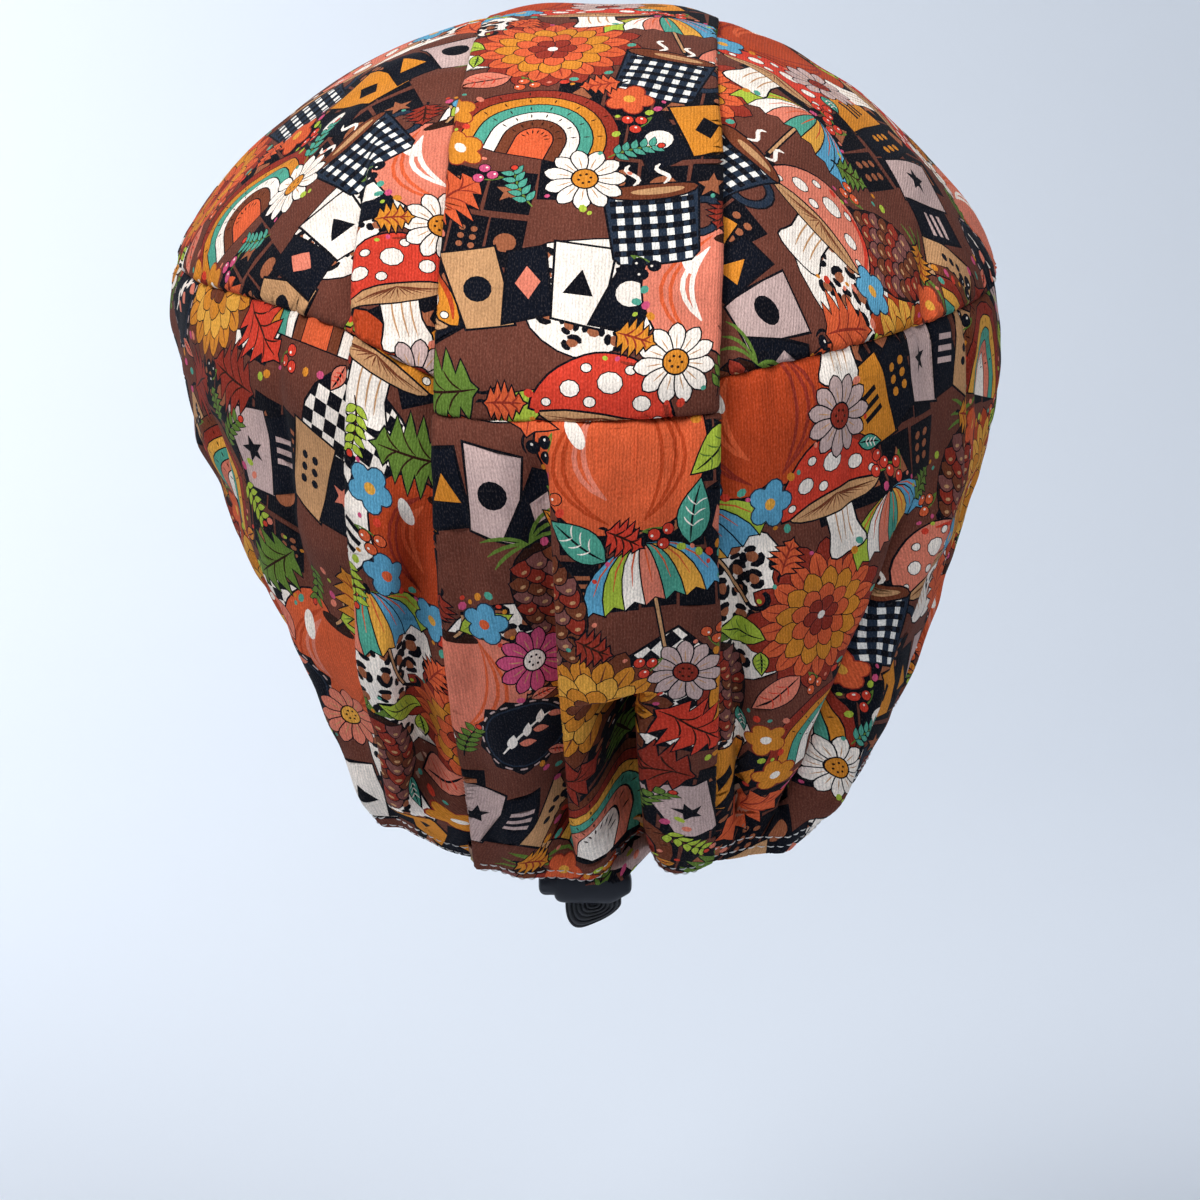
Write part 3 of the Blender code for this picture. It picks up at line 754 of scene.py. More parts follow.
def mug(pen, _):
    handle = oval(0.72, -0.15, 0.34, 0.38)
    hole = -0.11 * pen.radius
    for grow, colour in ((0.5, "ink"), (0, "slate"), (hole, "ink"), (hole - 0.5, "ground")):
        pen.fill(handle, colour, grow)
    body = [(-0.7, 0.45), (-0.62, -0.8), (-0.5, -0.92), (0.5, -0.92), (0.62, -0.8), (0.7, 0.45)]
    pen.inked(body, "slate", 0.6)
    for i in range(5):
        pen.fill(box_shape(0.055, 0.665, -0.48 + i * 0.24, -0.235), "white")
    for i in range(5):
        y = -0.72 + i * 0.24
        pen.fill(box_shape(0.62, 0.055, 0, y), "ink")
        for j in range(5):
            pen.fill(oval(-0.48 + j * 0.24, y, 0.055, 0.055, 45, 4), "slate")
    pen.inked(oval(0, 0.45, 0.7, 0.15), "brown", 0.6)
    pen.fill(oval(0.1, 0.46, 0.4, 0.07), "tan")
    s = np.linspace(0, 1, 9)
    for x in (-0.25, 0.2):
        pen.line(np.stack([x + 0.09 * np.sin(s * 6), 0.6 + 0.42 * s], 1), 1.3, "cream")


def cone(pen, k):
    shades = ("plum", "brown", "rust")
    pen.inked(oval(0, -0.05, 0.68, 0.98, 0, 22), "dark", 0.5)
    scale = curve([(-0.15, 0.08), (-0.1, -0.1), (0, -0.16), (0.1, -0.1), (0.15, 0.08)], 2)
    for row in range(9):
        y = -0.92 + row * 0.2
        span = 0.66 * math.sqrt(max(1 - ((y + 0.05) / 0.98) ** 2, 0.05))
        count = max(2, int(round(span / 0.13)))
        for i in range(count):
            x = (i - (count - 1) / 2) * 2 * span / count * (1.0 if row % 2 else 0.94)
            pen.inked(scale + [x, y], shades[(i + row + k) % 3], 0.35)
            pen.fill(oval(x, y - 0.08, 0.05, 0.03, 0, 6), "tan")
    pen.bow((0, 0.9), (0.1, 1.2), 0.2, 1.8, "ink", 0.7)
    for side in (-1, 1):
        for lift in (0.1, 0.32, 0.55):
            pen.bow((0, 0.95), (side * 0.62, 0.75 + lift), 0.12 * side, 1.1, "leaf", 0.2)


def umbrella(pen, k):
    shades = ("sky", "lime", "cream", "coral", "teal", "gold", "sky")
    pen.line([(0, -0.85), (0, -0.3), (0, 0.5)], 1.9, "ink", 0.9)
    pen.line([(0, -0.8), (0, -0.3), (0, 0.5)], 0.9, "tan", 0.9)
    t = np.linspace(np.pi, 2.1 * np.pi, 8)
    pen.line(np.stack([0.15 + 0.15 * np.cos(t), -0.82 + 0.15 * np.sin(t)], 1), 1.7, "ink", 0.7)
    a = np.linspace(-1, 1, 8)
    lift = np.linspace(0, np.pi / 2, 7)
    for i in range(7):
        left = np.stack([a[i] * np.cos(lift), 0.9 * np.sin(lift)], 1)
        right = np.stack([a[i + 1] * np.cos(lift), 0.9 * np.sin(lift)], 1)[:-1]
        middle = (a[i] + a[i + 1]) / 2
        pen.inked(np.concatenate([left, right[::-1], [(middle, 0.09)]]), shades[(i + k) % 7], 0.4)
        pen.line([(middle * math.cos(s), 0.9 * math.sin(s)) for s in (0.35, 0.7, 1.05, 1.3)], 0.5, "orange")
    pen.fill(oval(0, 0.93, 0.05, 0.09, 0, 8), "ink")


def badge(pen, _):
    t = np.arange(48) / 48 * math.tau
    pen.fill(np.stack([np.cos(t), np.sin(t)], 1) * (0.96 + 0.06 * np.cos(12 * t))[:, None], "ink")
    pen.fill(oval(0, 0, 0.82, 0.82, 0, 24), "slate")
    pen.fill(oval(0, 0, 0.78, 0.78, 0, 24), "night")
    for i in range(20):
        a = math.radians(i * 18)
        stitch = [(math.cos(b) * 0.88, math.sin(b) * 0.88) for b in (a - 0.08, a, a + 0.08)]
        pen.line(stitch, 0.7, "mauve", 0.8)
    foot, tip = np.array([-0.4, -0.45]), np.array([0.42, 0.5])
    pen.bow(foot, tip, 0.1, 0.9, "cream", 0.5)
    for along, side in ((0.15, 1), (0.3, -1), (0.45, 1), (0.6, -1), (0.75, 1), (0.95, -1)):
        shape = turned(curve(leaf_shape(0.36, 0.09), 1), -48 + 48 * side, mix(foot, tip, along))
        pen.fill(shape, "cream" if side > 0 else "coral")


def sprig(pen, k):
    stem, body = (("dark", "lime"), ("ink", "leaf"), ("leaf", "teal"))[k % 3]
    line = bowed((0, -1), (0.1, 0.9), 0.08, 7)
    pen.line(line, 0.7, stem, 0.5)
    for i in range(1, 6):
        for side in (-1, 1):
            pen.inked(turned(curve(leaf_shape(0.5, 0.12), 1), -side * 55, line[i]), body, 0.22)
    pen.inked(oval(*line[-1], 0.12, 0.12, 0, 8), "red", 0.3)


def berries(pen, k):
    colour = ("red", "orange", "night", "pink")[k % 4]
    for x, y in ((-0.5, -0.3), (0.45, -0.45), (0.0, 0.35)):
        pen.bow((0.1, 1.1), (x, y), 0.1, 0.5, "leaf", 0.5)
        pen.inked(oval(x, y, 0.36, 0.36, 0, 10), colour, 0.3)
        pen.fill(oval(x - 0.1, y + 0.12, 0.09, 0.09, 0, 6), "cream")


def dot(pen, k):
    pen.fill(oval(0, 0, 1, 0.8, k * 40, 7), ("coral", "teal", "mustard", "pink", "lime", "red")[k % 6])


REPEAT = 222.0  # the print's repeat, mm
# Each motif: its drawing, radius in mm, how many in a repeat, greatest tilt in degrees, and its layer
MOTIFS = (
    (leopard, 27, 3, 180, 0), (blocks, 29, 5, 10, 0), (checks, 24, 3, 180, 0), (leopard, 18, 2, 180, 0),
    (tiles, 34, 5, 12, 1), (dahlia, 25, 3, 180, 1), (apple, 23, 4, 14, 1), (arcs, 23, 3, 25, 1),
    (umbrella, 20, 3, 25, 1), (cone, 19, 3, 40, 1), (mushroom, 19, 4, 16, 1), (mug, 18, 2, 12, 1),
    (badge, 16, 3, 20, 1), (leaf, 13, 9, 180, 2), (daisy, 11, 7, 180, 2), (plain_leaf, 10, 10, 180, 2),
    (blossom, 7, 10, 180, 2), (sprig, 8, 16, 180, 2), (leaf, 6.5, 18, 180, 2), (berries, 4.5, 22, 180, 2),
    (plain_leaf, 4.5, 16, 180, 2), (dot, 1.4, 90, 180, 2), (dot, 0.8, 90, 180, 2),
)


def laid_out():
    """The repeat's motifs, packed with a fixed seed: drawing, place, tilt, radius, variant and layer."""
    random = np.random.default_rng(11)
    placed = []
    for draw, radius, count, tilt, layer in MOTIFS:
        crowding = 1.25 if layer == 0 else 0.8
        for k in range(count):
            spots = random.uniform(0, REPEAT, (160, 2))
            room = np.full(160, 1e9)
            others = [item for item in placed if layer == 0 or item[5] > 0]
            if others:
                gap = np.abs(spots[:, None] - np.array([item[1] for item in others])[None])
                gap = np.minimum(gap, REPEAT - gap)
                sizes = np.array([item[3] for item in others])
                room = (np.hypot(gap[..., 0], gap[..., 1]) - crowding * (radius + sizes)).min(1)
            best = int(np.argmax(room))
            if layer > 1 and room[best] < -0.2 * radius:
                continue
            placed.append((draw, spots[best], random.uniform(-tilt, tilt), radius, k, layer))
    placed.sort(key=lambda item: item[5])
    return placed


def simplified(points):
    """An outline without the points that hardly bend it."""
    for _ in range(2):
        if len(points) < 7:
            break
        before, after = np.roll(points, 1, 0), np.roll(points, -1, 0)
        chord = unit(after - before)
        bend = np.abs(chord[:, 0] * (points - before)[:, 1] - chord[:, 1] * (points - before)[:, 0])
        points = points[(bend > IDLE) | (np.arange(len(points)) % 2 == 0)]
    return points


def drawn_repeat():
    shapes = []
    for draw, spot, tilt, radius, k, _ in laid_out():
        pen = Pen(radius)
        draw(pen, k)
        shapes += [(turned(simplified(points), tilt, spot), colour) for points, colour in pen.shapes]
    return shapes


REPEAT_SHAPES = drawn_repeat()
SHAPE_MIDDLES = np.array([(points.max(0) + points.min(0)) / 2 for points, _ in REPEAT_SHAPES])
SHAPE_REACHES = np.array([np.linalg.norm(points.max(0) - points.min(0)) / 2 for points, _ in REPEAT_SHAPES])


def drawn_over(low, high, tilt, move):
    """The repeat's outlines that reach a box of the flat cut, with the print tilted and moved on it."""
    corners = np.array([(low[0], low[1]), (high[0], low[1]), (high[0], high[1]), (low[0], high[1])])
    on_print = turned(corners - move, -tilt)
    first = np.floor(on_print.min(0) / REPEAT).astype(int) - 1
    last = np.floor(on_print.max(0) / REPEAT).astype(int) + 1
    found = []
    for i in range(first[0], last[0] + 1):
        for j in range(first[1], last[1] + 1):
            step = np.array([i, j]) * REPEAT
            middles = turned(SHAPE_MIDDLES + step, tilt, move)
            reaches = SHAPE_REACHES[:, None]
            near = (middles + reaches > low).all(1) & (middles - reaches < high).all(1)
            for index in np.flatnonzero(near):
                points, colour = REPEAT_SHAPES[index]
                found.append((index, turned(points + step, tilt, move), colour))
    found.sort(key=lambda item: item[0])
    return [item[1:] for item in found]


def grid(rows, columns):
    """Every pair of a row and a column, as two flat arrays."""
    rows, columns = np.meshgrid(rows, columns, indexing="ij")
    return rows.ravel(), columns.ravel()


class Cut:
    """A panel's table with its flat cut, and what is looked up in them."""

    def __init__(self, points, column, row, measured=None, reach=0):
        self.points = points
        self.outward = frame_of(points)[2]
        across, up = lengths(points if measured is None else measured, column, row, reach)
        self.flat = np.stack([across, up], -1)
        self.rows, self.columns = across.shape

    def at(self, table, i, j):
        """A table's values at fractional columns i and rows j."""
        i = np.clip(i, 0, self.columns - 1.001)
        j = np.clip(j, 0, self.rows - 1.001)
        a, b = i.astype(int), j.astype(int)
        s, t = (i - a)[:, None], (j - b)[:, None]
        top = table[b, a] * (1 - s) + table[b, a + 1] * s
        bottom = table[b + 1, a] * (1 - s) + table[b + 1, a + 1] * s
        return top * (1 - t) + bottom * t

    def find(self, places):
        """The fractional column and row of places in the flat cut."""
        coarse = 6
        rows, columns = grid(np.arange(0, self.rows, coarse), np.arange(0, self.columns, coarse))
        known = self.flat[rows, columns]
        tree = KDTree(len(known))
        for index, spot in enumerate(known):
            tree.insert((spot[0], spot[1], 0), index)
        tree.balance()
        near = np.array([tree.find((p[0], p[1], 0))[1] for p in places])
        i, j = columns[near].astype(float), rows[near].astype(float)
        for _ in range(14):
            i = np.clip(i, 0, self.columns - 1.001)
            j = np.clip(j, 0, self.rows - 1.001)
            a, b = i.astype(int), j.astype(int)
            s, t = (i - a)[:, None], (j - b)[:, None]
            f00, f10 = self.flat[b, a], self.flat[b, a + 1]
            f01, f11 = self.flat[b + 1, a], self.flat[b + 1, a + 1]
            here = (f00 * (1 - s) + f10 * s) * (1 - t) + (f01 * (1 - s) + f11 * s) * t
            along = (f10 - f00) * (1 - t) + (f11 - f01) * t
            down = (f01 - f00) * (1 - s) + (f11 - f10) * s
            miss = places - here
            det = along[:, 0] * down[:, 1] - along[:, 1] * down[:, 0]
            det = np.where(np.abs(det) < 1e-9, -1e-9, det)
            i += np.clip((miss[:, 0] * down[:, 1] - miss[:, 1] * down[:, 0]) / det, -6, 6)
            j += np.clip((along[:, 0] * miss[:, 1] - along[:, 1] * miss[:, 0]) / det, -6, 6)
        return i, j


def inside(places, ring):
    """Which places lie inside a closed outline."""
    result = np.zeros(len(places), bool)
    x, y = places[:, 0], places[:, 1]
    for (ax, ay), (bx, by) in zip(ring, np.roll(ring, -1, 0)):
        if ay == by:
            continue
        crosses = (ay > y) != (by > y)
        result ^= crosses & (x < (bx - ax) * (y - ay) / (by - ay) + ax)
    return result


def new_mesh(name, points, faces, normals=None, material_index=None):
    """A mesh object from arrays: faces are triangles."""
    mesh = bpy.data.meshes.new(name)
    mesh.vertices.add(len(points))
    mesh.vertices.foreach_set("co", np.asarray(points, np.float32).ravel())
    mesh.loops.add(faces.size)
    mesh.loops.foreach_set("vertex_index", faces.astype(np.int32).ravel())
    mesh.polygons.add(len(faces))
    mesh.polygons.foreach_set("loop_start", np.arange(0, faces.size, 3, dtype=np.int32))
    if material_index is not None:
        mesh.polygons.foreach_set("material_index", material_index.astype(np.int32))
    mesh.update()
    mesh.validate()
    mesh.polygons.foreach_set("use_smooth", np.ones(len(mesh.polygons), bool))
    if normals is not None:
        mesh.normals_split_custom_set_from_vertices(normals)
    made = bpy.data.objects.new(name, mesh)
    bpy.context.scene.collection.objects.link(made)
    return made


def grid_inside(cut, outline, steps):
    """Every so many points of the table that lie inside the panel's edge, in the flat cut."""
    rows, columns = grid(np.arange(1, cut.rows - 1, steps[0]), np.arange(1, cut.columns - 1, steps[1]))
    keep = inside(np.stack([columns, rows], 1).astype(float), outline)
    return cut.flat[rows[keep], columns[keep]]


def netted(points, edges, ring):
    """Points and anticlockwise triangles between them inside a ring, with the edges kept."""
    placed, _, faces, *_ = delaunay_2d_cdt(
        [Vector(p) for p in points.tolist()], [tuple(e) for e in edges.tolist()], [], 0, 1e-4, False
    )
    placed = np.array([tuple(p) for p in placed])
    faces = np.array([tuple(f) for f in faces])
    faces = faces[inside(placed[faces].mean(1), ring)]
    corners = placed[faces]
    area = np.cross(corners[:, 1] - corners[:, 0], corners[:, 2] - corners[:, 0])
    faces[area < 0] = faces[area < 0][:, ::-1]
    faces = faces[np.abs(area) > 1e-7]
    used, faces = np.unique(faces, return_inverse=True)
    return placed[used], faces.reshape(-1, 3)


def loop(count):
    """The edges of a closed line of so many points."""
    return np.stack([np.arange(count), np.roll(np.arange(count), -1)], 1)


def on_ring(places, ring):
    """Which places lie on a closed line."""
    start, way = ring, np.roll(ring, -1, 0) - ring
    size = np.maximum(np.sum(way * way, 1), 1e-12)
    away = places[:, None] - start[None]
    share = np.clip(np.sum(away * way[None], 2) / size, 0, 1)
    return np.linalg.norm(away - share[..., None] * way[None], axis=2).min(1) < 0.002


def inks_at(places, drawn):
    """The colour of the topmost outline over each place."""
    order = np.argsort(places[:, 0])
    x = places[order, 0]
    colours = np.tile(INKS["ground"], (len(places), 1))
    for shape, colour in drawn:
        near = order[np.searchsorted(x, shape[:, 0].min()) : np.searchsorted(x, shape[:, 0].max())]
        near = near[(places[near, 1] > shape[:, 1].min()) & (places[near, 1] < shape[:, 1].max())]
        if len(near):
            colours[near[inside(places[near], shape)]] = INKS[colour]
    return colours


def add_places(mesh, name, places):
    mesh.uv_layers.new(name=name).data.foreach_set("uv", places.astype(np.float32).ravel())


def cloth_panel(name, cut, outline, tilt, move):
    """The panel's closed mesh: the outer face with the print in it, a coarser inner face, and the rim.

    outline is the panel's edge as (column, row) pairs of the table, in order.
    """
    outline = np.asarray(outline, float)
    ring = cut.at(cut.flat, outline[:, 0], outline[:, 1])
    points = [ring]
    edges = [loop(len(ring))]
    count = len(ring)
    drawn = drawn_over(ring.min(0) - 0.5, ring.max(0) + 0.5, tilt, np.asarray(move, float))
    for shape, _ in drawn:
        points.append(shape)
        edges.append(loop(len(shape)) + count)
        count += len(shape)
    points.append(grid_inside(cut, outline, GRID))
    placed, faces = netted(np.concatenate(points), np.concatenate(edges), ring)
    colours = inks_at(placed[faces].mean(1), drawn)

    # The rim: edges with one face that lie on the ring
    directed = np.concatenate([faces[:, [0, 1]], faces[:, [1, 2]], faces[:, [2, 0]]])
    sides = np.sort(directed, axis=1)
    keys = sides[:, 0] * len(placed) + sides[:, 1]
    _, index, times = np.unique(keys, return_index=True, return_counts=True)
    lone = index[times == 1]
    lone = lone[on_ring(placed[directed[lone]].mean(1), ring)]
    rim, rim_inks = directed[lone], colours[lone % len(faces)]

    # The inner face shares the rim's points
    border, ends = np.unique(rim, return_inverse=True)
    ends = ends.reshape(-1, 2)
    sparse = np.concatenate([placed[border], grid_inside(cut, outline, INNER_GRID)])
    below, below_faces = netted(sparse, ends, ring)
    spots = {tuple(spot): index for index, spot in enumerate(below.tolist())}
    partner = np.array([spots[tuple(spot)] for spot in placed[border].tolist()])
    n = len(placed)
    a, b = rim[:, 0], rim[:, 1]
    under_a, under_b = partner[ends[:, 0]] + n, partner[ends[:, 1]] + n
    rim_faces = np.concatenate([np.stack([b, a, under_a], 1), np.stack([b, under_a, under_b], 1)])

    places = np.concatenate([placed, below])
    i, j = cut.find(places)
    solid = cut.at(cut.points, i, j)
    normals = unit(cut.at(cut.outward, i, j))
    solid[n:] -= normals[n:] * KNIT
    normals[n:] *= -1
    all_faces = np.concatenate([faces, below_faces[:, ::-1] + n, rim_faces])
    slots = np.zeros(len(all_faces))
    slots[len(faces) : len(faces) + len(below_faces)] = 1
    made = new_mesh(name, solid, all_faces, normals, slots)
    mesh = made.data
    corner = np.ones((len(all_faces), 3, 4), np.float32)
    corner[: len(faces), :, :3] = colours[:, None, :]
    corner[len(faces) : len(faces) + len(below_faces), :, :3] = inks_at(below, drawn)[below_faces[:, ::-1]]
    corner[len(faces) + len(below_faces) :, :, :3] = np.concatenate([rim_inks, rim_inks])[:, None, :]
    mesh.color_attributes.new("print", "FLOAT_COLOR", "CORNER").data.foreach_set("color", corner.ravel())
    flat = places[all_faces]
    add_places(mesh, "cut", flat / 1000)
    span = placed.max(0) - placed.min(0)
    bake = (flat - placed.min(0)) / span * [0.98, 0.48] + [0.01, 0.01]
    bake[: len(faces), :, 1] += 0.5
    add_places(mesh, "OFBake", bake)
    return made


# The panels
SEAM = (0.0026, 0.0011, 90)  # cloth turned in at a seam: length, radius, turn
HEM = (0.0115, 0.0012, 180)  # cloth turned up inside at the hem
HEM_BAND = 0.009  # how far up the hem is two layers thick
EVEN_CELLS = 21  # over how many cells to each side a wall's flat cut is evened out
UNDER = 0.005  # how far a panel runs on under the strip or the back panel
OVERHANG = 0.0016  # how far the strip's and the back panel's folded edges reach over their neighbours
GROOVE = 0.0042  # how far the cloth beside those edges is drawn in under them
GROOVE_WIDTH = 0.0038
TAIL_GROOVE = 0.0022  # how far the back panel starts in under the strip's end
RING_GROOVE = 0.0026  # how far the side panels start in under the crown's rim


def even_steps(points, count):
    """Shares at which a line of points is cut into equal lengths."""
    step = np.linalg.norm(np.diff(points, axis=0), axis=-1)
    run = np.concatenate([[0], np.cumsum(step)])
    return np.interp(np.linspace(0, run[-1], count), run, np.linspace(0, 1, len(points))), run[-1]


def puckers(distance, along, seed, pitch=0.0075, height=0.0006, reach=0.009):
    """Small gathers beside a seam."""
    wobble = ripple(seed, ((0.05, 1.6),), along, along * 0.3)
    uneven = 0.6 + 0.4 * ripple(seed + 1, ((0.03, 1.0),), along, 0 * along)
    fade = np.exp(-np.maximum(distance, 0) / reach)
    return height * uneven * fade * np.sin(along * math.tau / pitch + wobble)


def round_outline(rows, columns, step=2):
    """The outline of a whole table as (column, row) pairs."""
    i, j = np.arange(0, columns - 1, step), np.arange(0, rows - 1, step)
    return np.concatenate([
        np.stack([i, 0 * i], 1),
        np.stack([0 * j + columns - 1, j], 1),
        np.stack([columns - 1 - i, 0 * i + rows - 1], 1),
        np.stack([0 * j, rows - 1 - j], 1),
    ])


def same_turn(turn):
    return (turn + 180) % 360 - 180


def wall_turns(first, last):
    """Turns from first to last, at even steps along the middle of the wall."""
    tried = np.linspace(first, last, 600)
    line = wall_base(same_turn(tried), np.full(600, 0.35))
    shares, length = even_steps(line, 2)
    shares, _ = even_steps(line, int(length / CELL))
    return mix(first, last, shares)


def strip_panel():
    across = np.linspace(1, -1, int(STRIP_WIDTH / CELL))[None, :]
    line = crown_base(np.zeros(400), np.linspace(-BROW_REACH, BACK_REACH, 400))
    shares, length = even_steps(line, 2)
    shares, _ = even_steps(line, int(length / CELL))
    back = seam_place(across * STRIP_WIDTH / 2)
    front = seam_place(across * STRIP_TOP_WIDTH / 2, -BROW_REACH)
    y = mix(front, back, shares[:, None])
    proud = strip_proud(y)
    half = strip_half(y) + OVERHANG - proud / 2
    x = across * half
    edge = half - np.abs(x)
    along = np.broadcast_to(y, x.shape)
    height = proud * (0.93 + 0.07 * roll(edge, 0.010))
    height = height + ripple(3, ((0.05, 0.0007), (0.022, 0.0003)), x, along)
    height += puckers(edge, along, 5, 0.011, 0.0005, 0.008)
    crown = crown_base(x, y) + crown_direction(x, y) * height[..., None]
    count = int(STRIP_TAIL / CELL)
    turn = seam_turn(x[-1])[None, :]
    down = np.linspace(0, 1, count)[1:, None] * STRIP_TAIL / wall_length(turn[0])[None, :]
    turn = np.broadcast_to(turn, down.shape)
    fall = height[-1][None, :] - 0.0010 * (1 - roll((1 - down / down[-1]) * STRIP_TAIL, 0.003))
    fall = fall + puckers((down[-1] - down) * 0.15, x[-1][None, :] + 0 * down, 8, 0.009, 0.0005, 0.006)
    tail = wall_base(turn, down) + wall_direction(turn, down) * fall[..., None]
    points = smooth(np.concatenate([crown, tail]), 40)
    radius = np.concatenate([proud[:, 50], np.full(count - 1, STRIP_PROUD)]) / 2 + 0.0003
    fold = (math.pi * STRIP_PROUD / 2 + 0.003, radius, 180)
    table, pads = with_edges(points, left=fold, right=fold, top=SEAM, bottom=SEAM)
    cut = Cut(table, table.shape[1] // 2, table.shape[0] - pads["bottom"] - 1)
    return cut, round_outline(*table.shape[:2])


MARGIN = 0.004  # how far a crown panel's table runs on past the seam
PRINT_START = 0.06  # how far behind the brow seam the flat cut's lengths up a crown panel start


def crown_panel(side):
    inner_x = side * (STRIP_WIDTH / 2 - UNDER)
    wide = float(half_width(side)) + MARGIN
    x = np.arange(wide, STRIP_TOP_WIDTH / 2 - UNDER - 2 * CELL, -CELL)
    x = x if side > 0 else -x[::-1]
    y = np.arange(-BROW_REACH - MARGIN, BACK_REACH + MARGIN, CELL)
    x, y = np.meshgrid(x, y)
    turn = np.degrees(np.arctan2(x, y))
    to_seam = seam_reach(turn) - np.hypot(x, y)
    to_strip = np.abs(x) - strip_half(y)
    along_seam = turn * TURN_LENGTH
    height = SEAM_PUFF * roll(to_seam, SEAM_ROLL / 3) * roll(to_strip, SEAM_ROLL)
    height -= GROOVE * np.exp(-np.abs(to_strip) / GROOVE_WIDTH) * ease(y / BACK_REACH * 1.4 - 0.4)
    up_crown = ease(1 - (seam_place(x) - y) / (CROWN_TUCK_RUN * BACK_REACH)) * (y > 0)
    folds = LEFT_FOLDS if side > 0 else RIGHT_FOLDS
    height += up_crown * fold_height(folds, seam_turn(x), np.zeros_like(x))
    height += ripple(20 + side, ((0.05, 0.0009), (0.022, 0.0004)), x, y) * roll(to_seam, 0.01)
    height += puckers(to_seam, along_seam, 22 + side, 0.008, 0.0006)
    height += puckers(to_strip, y, 26 + side, 0.010, 0.0004)
    points = crown_base(x, y) + crown_direction(x, y) * height[..., None]
    points[..., 0] += up_crown * fold_shift(folds, seam_turn(x), np.zeros_like(x)) * roll(to_seam, 0.002)
    points = np.where((to_seam > 0)[..., None], smooth(points, 4), points)
    slope = CROWN_EDGE_ANGLE
    out, inward = curled(np.maximum(-to_seam, 0), SEAM[1], math.radians(SEAM[2]))
    points = points + leaning(turn, 90 + slope) * out[..., None] - leaning(turn, slope) * inward[..., None]
    start = int((BROW_REACH + MARGIN + PRINT_START) / CELL)
    cut = Cut(points, points.shape[1] - 1 if side > 0 else 0, start)
    ends = float(seam_turn(inner_x)), float(seam_turn(side * (STRIP_TOP_WIDTH / 2 - UNDER), -BROW_REACH))
    turns = np.linspace(*ends, 260)
    rim = leaning(turns, 90)[:, :2] * (seam_reach(turns) + SEAM[0])[:, None]
    line = np.linspace(rim[-1, 1], rim[0, 1], 150)[1:-1]
    inner = np.stack([side * (strip_half(line) - UNDER), line], 1)
    edge = np.concatenate([rim, inner])
    return cut, np.stack([(x[0, 0] - edge[:, 0]) / CELL, (edge[:, 1] - y[0, 0]) / CELL], 1)


def wall_panel(first, last, start, folds, seed, left=None, right=None, reference=0.5, proud=None, calm=None):
    """A panel of the wall from one turn to another and from a share of the way down to the hem."""
    turn = wall_turns(first, last)[None, :]
    sorted_turn = same_turn(turn)
    long = wall_length(sorted_turn[0])[None, :]
    count = int(long.max() / CELL)
    down = mix(start(sorted_turn), 1, np.linspace(0, 1, count)[:, None])
    turn = np.broadcast_to(sorted_turn, down.shape)
    along = np.broadcast_to(turn[:1] * TURN_LENGTH, down.shape)
    to_seam = (down - down[:1]) * long
    to_hem = (1 - down) * long
    uneven = ripple(seed, ((0.05, 0.0010), (0.024, 0.0005), (0.012, 0.00015)), along, down * long)
    uneven *= roll(to_seam, 0.01)
    uneven += puckers(to_seam, along, seed + 1, 0.0085, 0.0008, 0.010)
    uneven += puckers(to_hem, along, seed + 3, 0.016, 0.0006, 0.014)
    uneven += 0.0005 * ease(1.5 - to_hem / HEM_BAND)
    base = wall_base(turn, down)
    sideways = -unit(np.gradient(base, axis=1))
    if proud is not None:
        radius = proud(down[:, 0]) / 2 + 0.0003
        left = right = (math.pi * float(radius.max()) + 0.003, radius, 180)

    def folded(folds):
        height, shift = folds(turn, down, to_seam)
        outwards = wall_direction(turn, down) * (height + uneven)[..., None]
        points = smooth(base + outwards + sideways * shift[..., None], 4)
        for reach, length, passes in ((1.3, 0.016, 12), (1.2, 0.008, 40)):
            near_hem = ease(reach - to_hem / length)[..., None]
            points = mix(points, smooth(points, passes), near_hem)
        return with_edges(points, left=left, right=right, top=SEAM, bottom=HEM)

    table, pads = folded(folds)
    measured = folded(calm)[0] if calm else table
    cut = Cut(table, int(table.shape[1] * reference), pads["top"], measured, EVEN_CELLS)
    cut.hem_row = table.shape[0] - 1 - pads["bottom"]
    cut.sides = pads["left"], table.shape[1] - 1 - pads["right"]
    return cut, round_outline(*table.shape[:2])


def side_folds(side):
    def height(turn, down, to_seam):
        to_back = (np.abs(turn) - abs(edge_turn(side))) * TURN_LENGTH
        to_band = (BROW_BAND_TURN - np.abs(turn)) * TURN_LENGTH
        lifted = SEAM_PUFF * roll(to_back, SEAM_ROLL) * roll(to_band, SEAM_ROLL) * roll(to_seam, SEAM_ROLL)
        lifted -= RING_GROOVE * np.exp(-to_seam / SEAM_ROLL * 2)
        near_top = 0.35 + 0.65 * np.exp(-to_seam / 0.05)
        lifted -= GROOVE * np.exp(-np.abs(to_back) / GROOVE_WIDTH) * near_top
        table = LEFT_FOLDS if side > 0 else RIGHT_FOLDS
        inner = roll(to_back, 0.0035)
        shift = fold_shift(table, turn, down) * roll(to_back, 0.008) * roll(to_seam, 0.002)
        return lifted + fold_height(table, turn, down) * inner, shift * roll(to_band, 0.008)
    return height


def back_proud(down):
    return STRIP_PROUD * mix(1, HEM_PROUD, ease(down))


def back_folds(turn, down, to_seam, table=BACK_FOLDS):
    height = back_proud(down) - TAIL_GROOVE * (1 - roll(to_seam, SEAM_ROLL / 2))
    to_edge = (abs(edge_turn(1)) - np.abs(turn)) * TURN_LENGTH
    shift = fold_shift(table, turn, down) * roll(to_edge, 0.006) * roll(to_seam, 0.004)
    return height + fold_height(table, turn, down), shift


def back_calm(turn, down, to_seam):
    """The back panel without its deep hollow, on which its flat cut is measured."""
    return back_folds(turn, down, to_seam, [row for row in BACK_FOLDS if row[6] > -1])


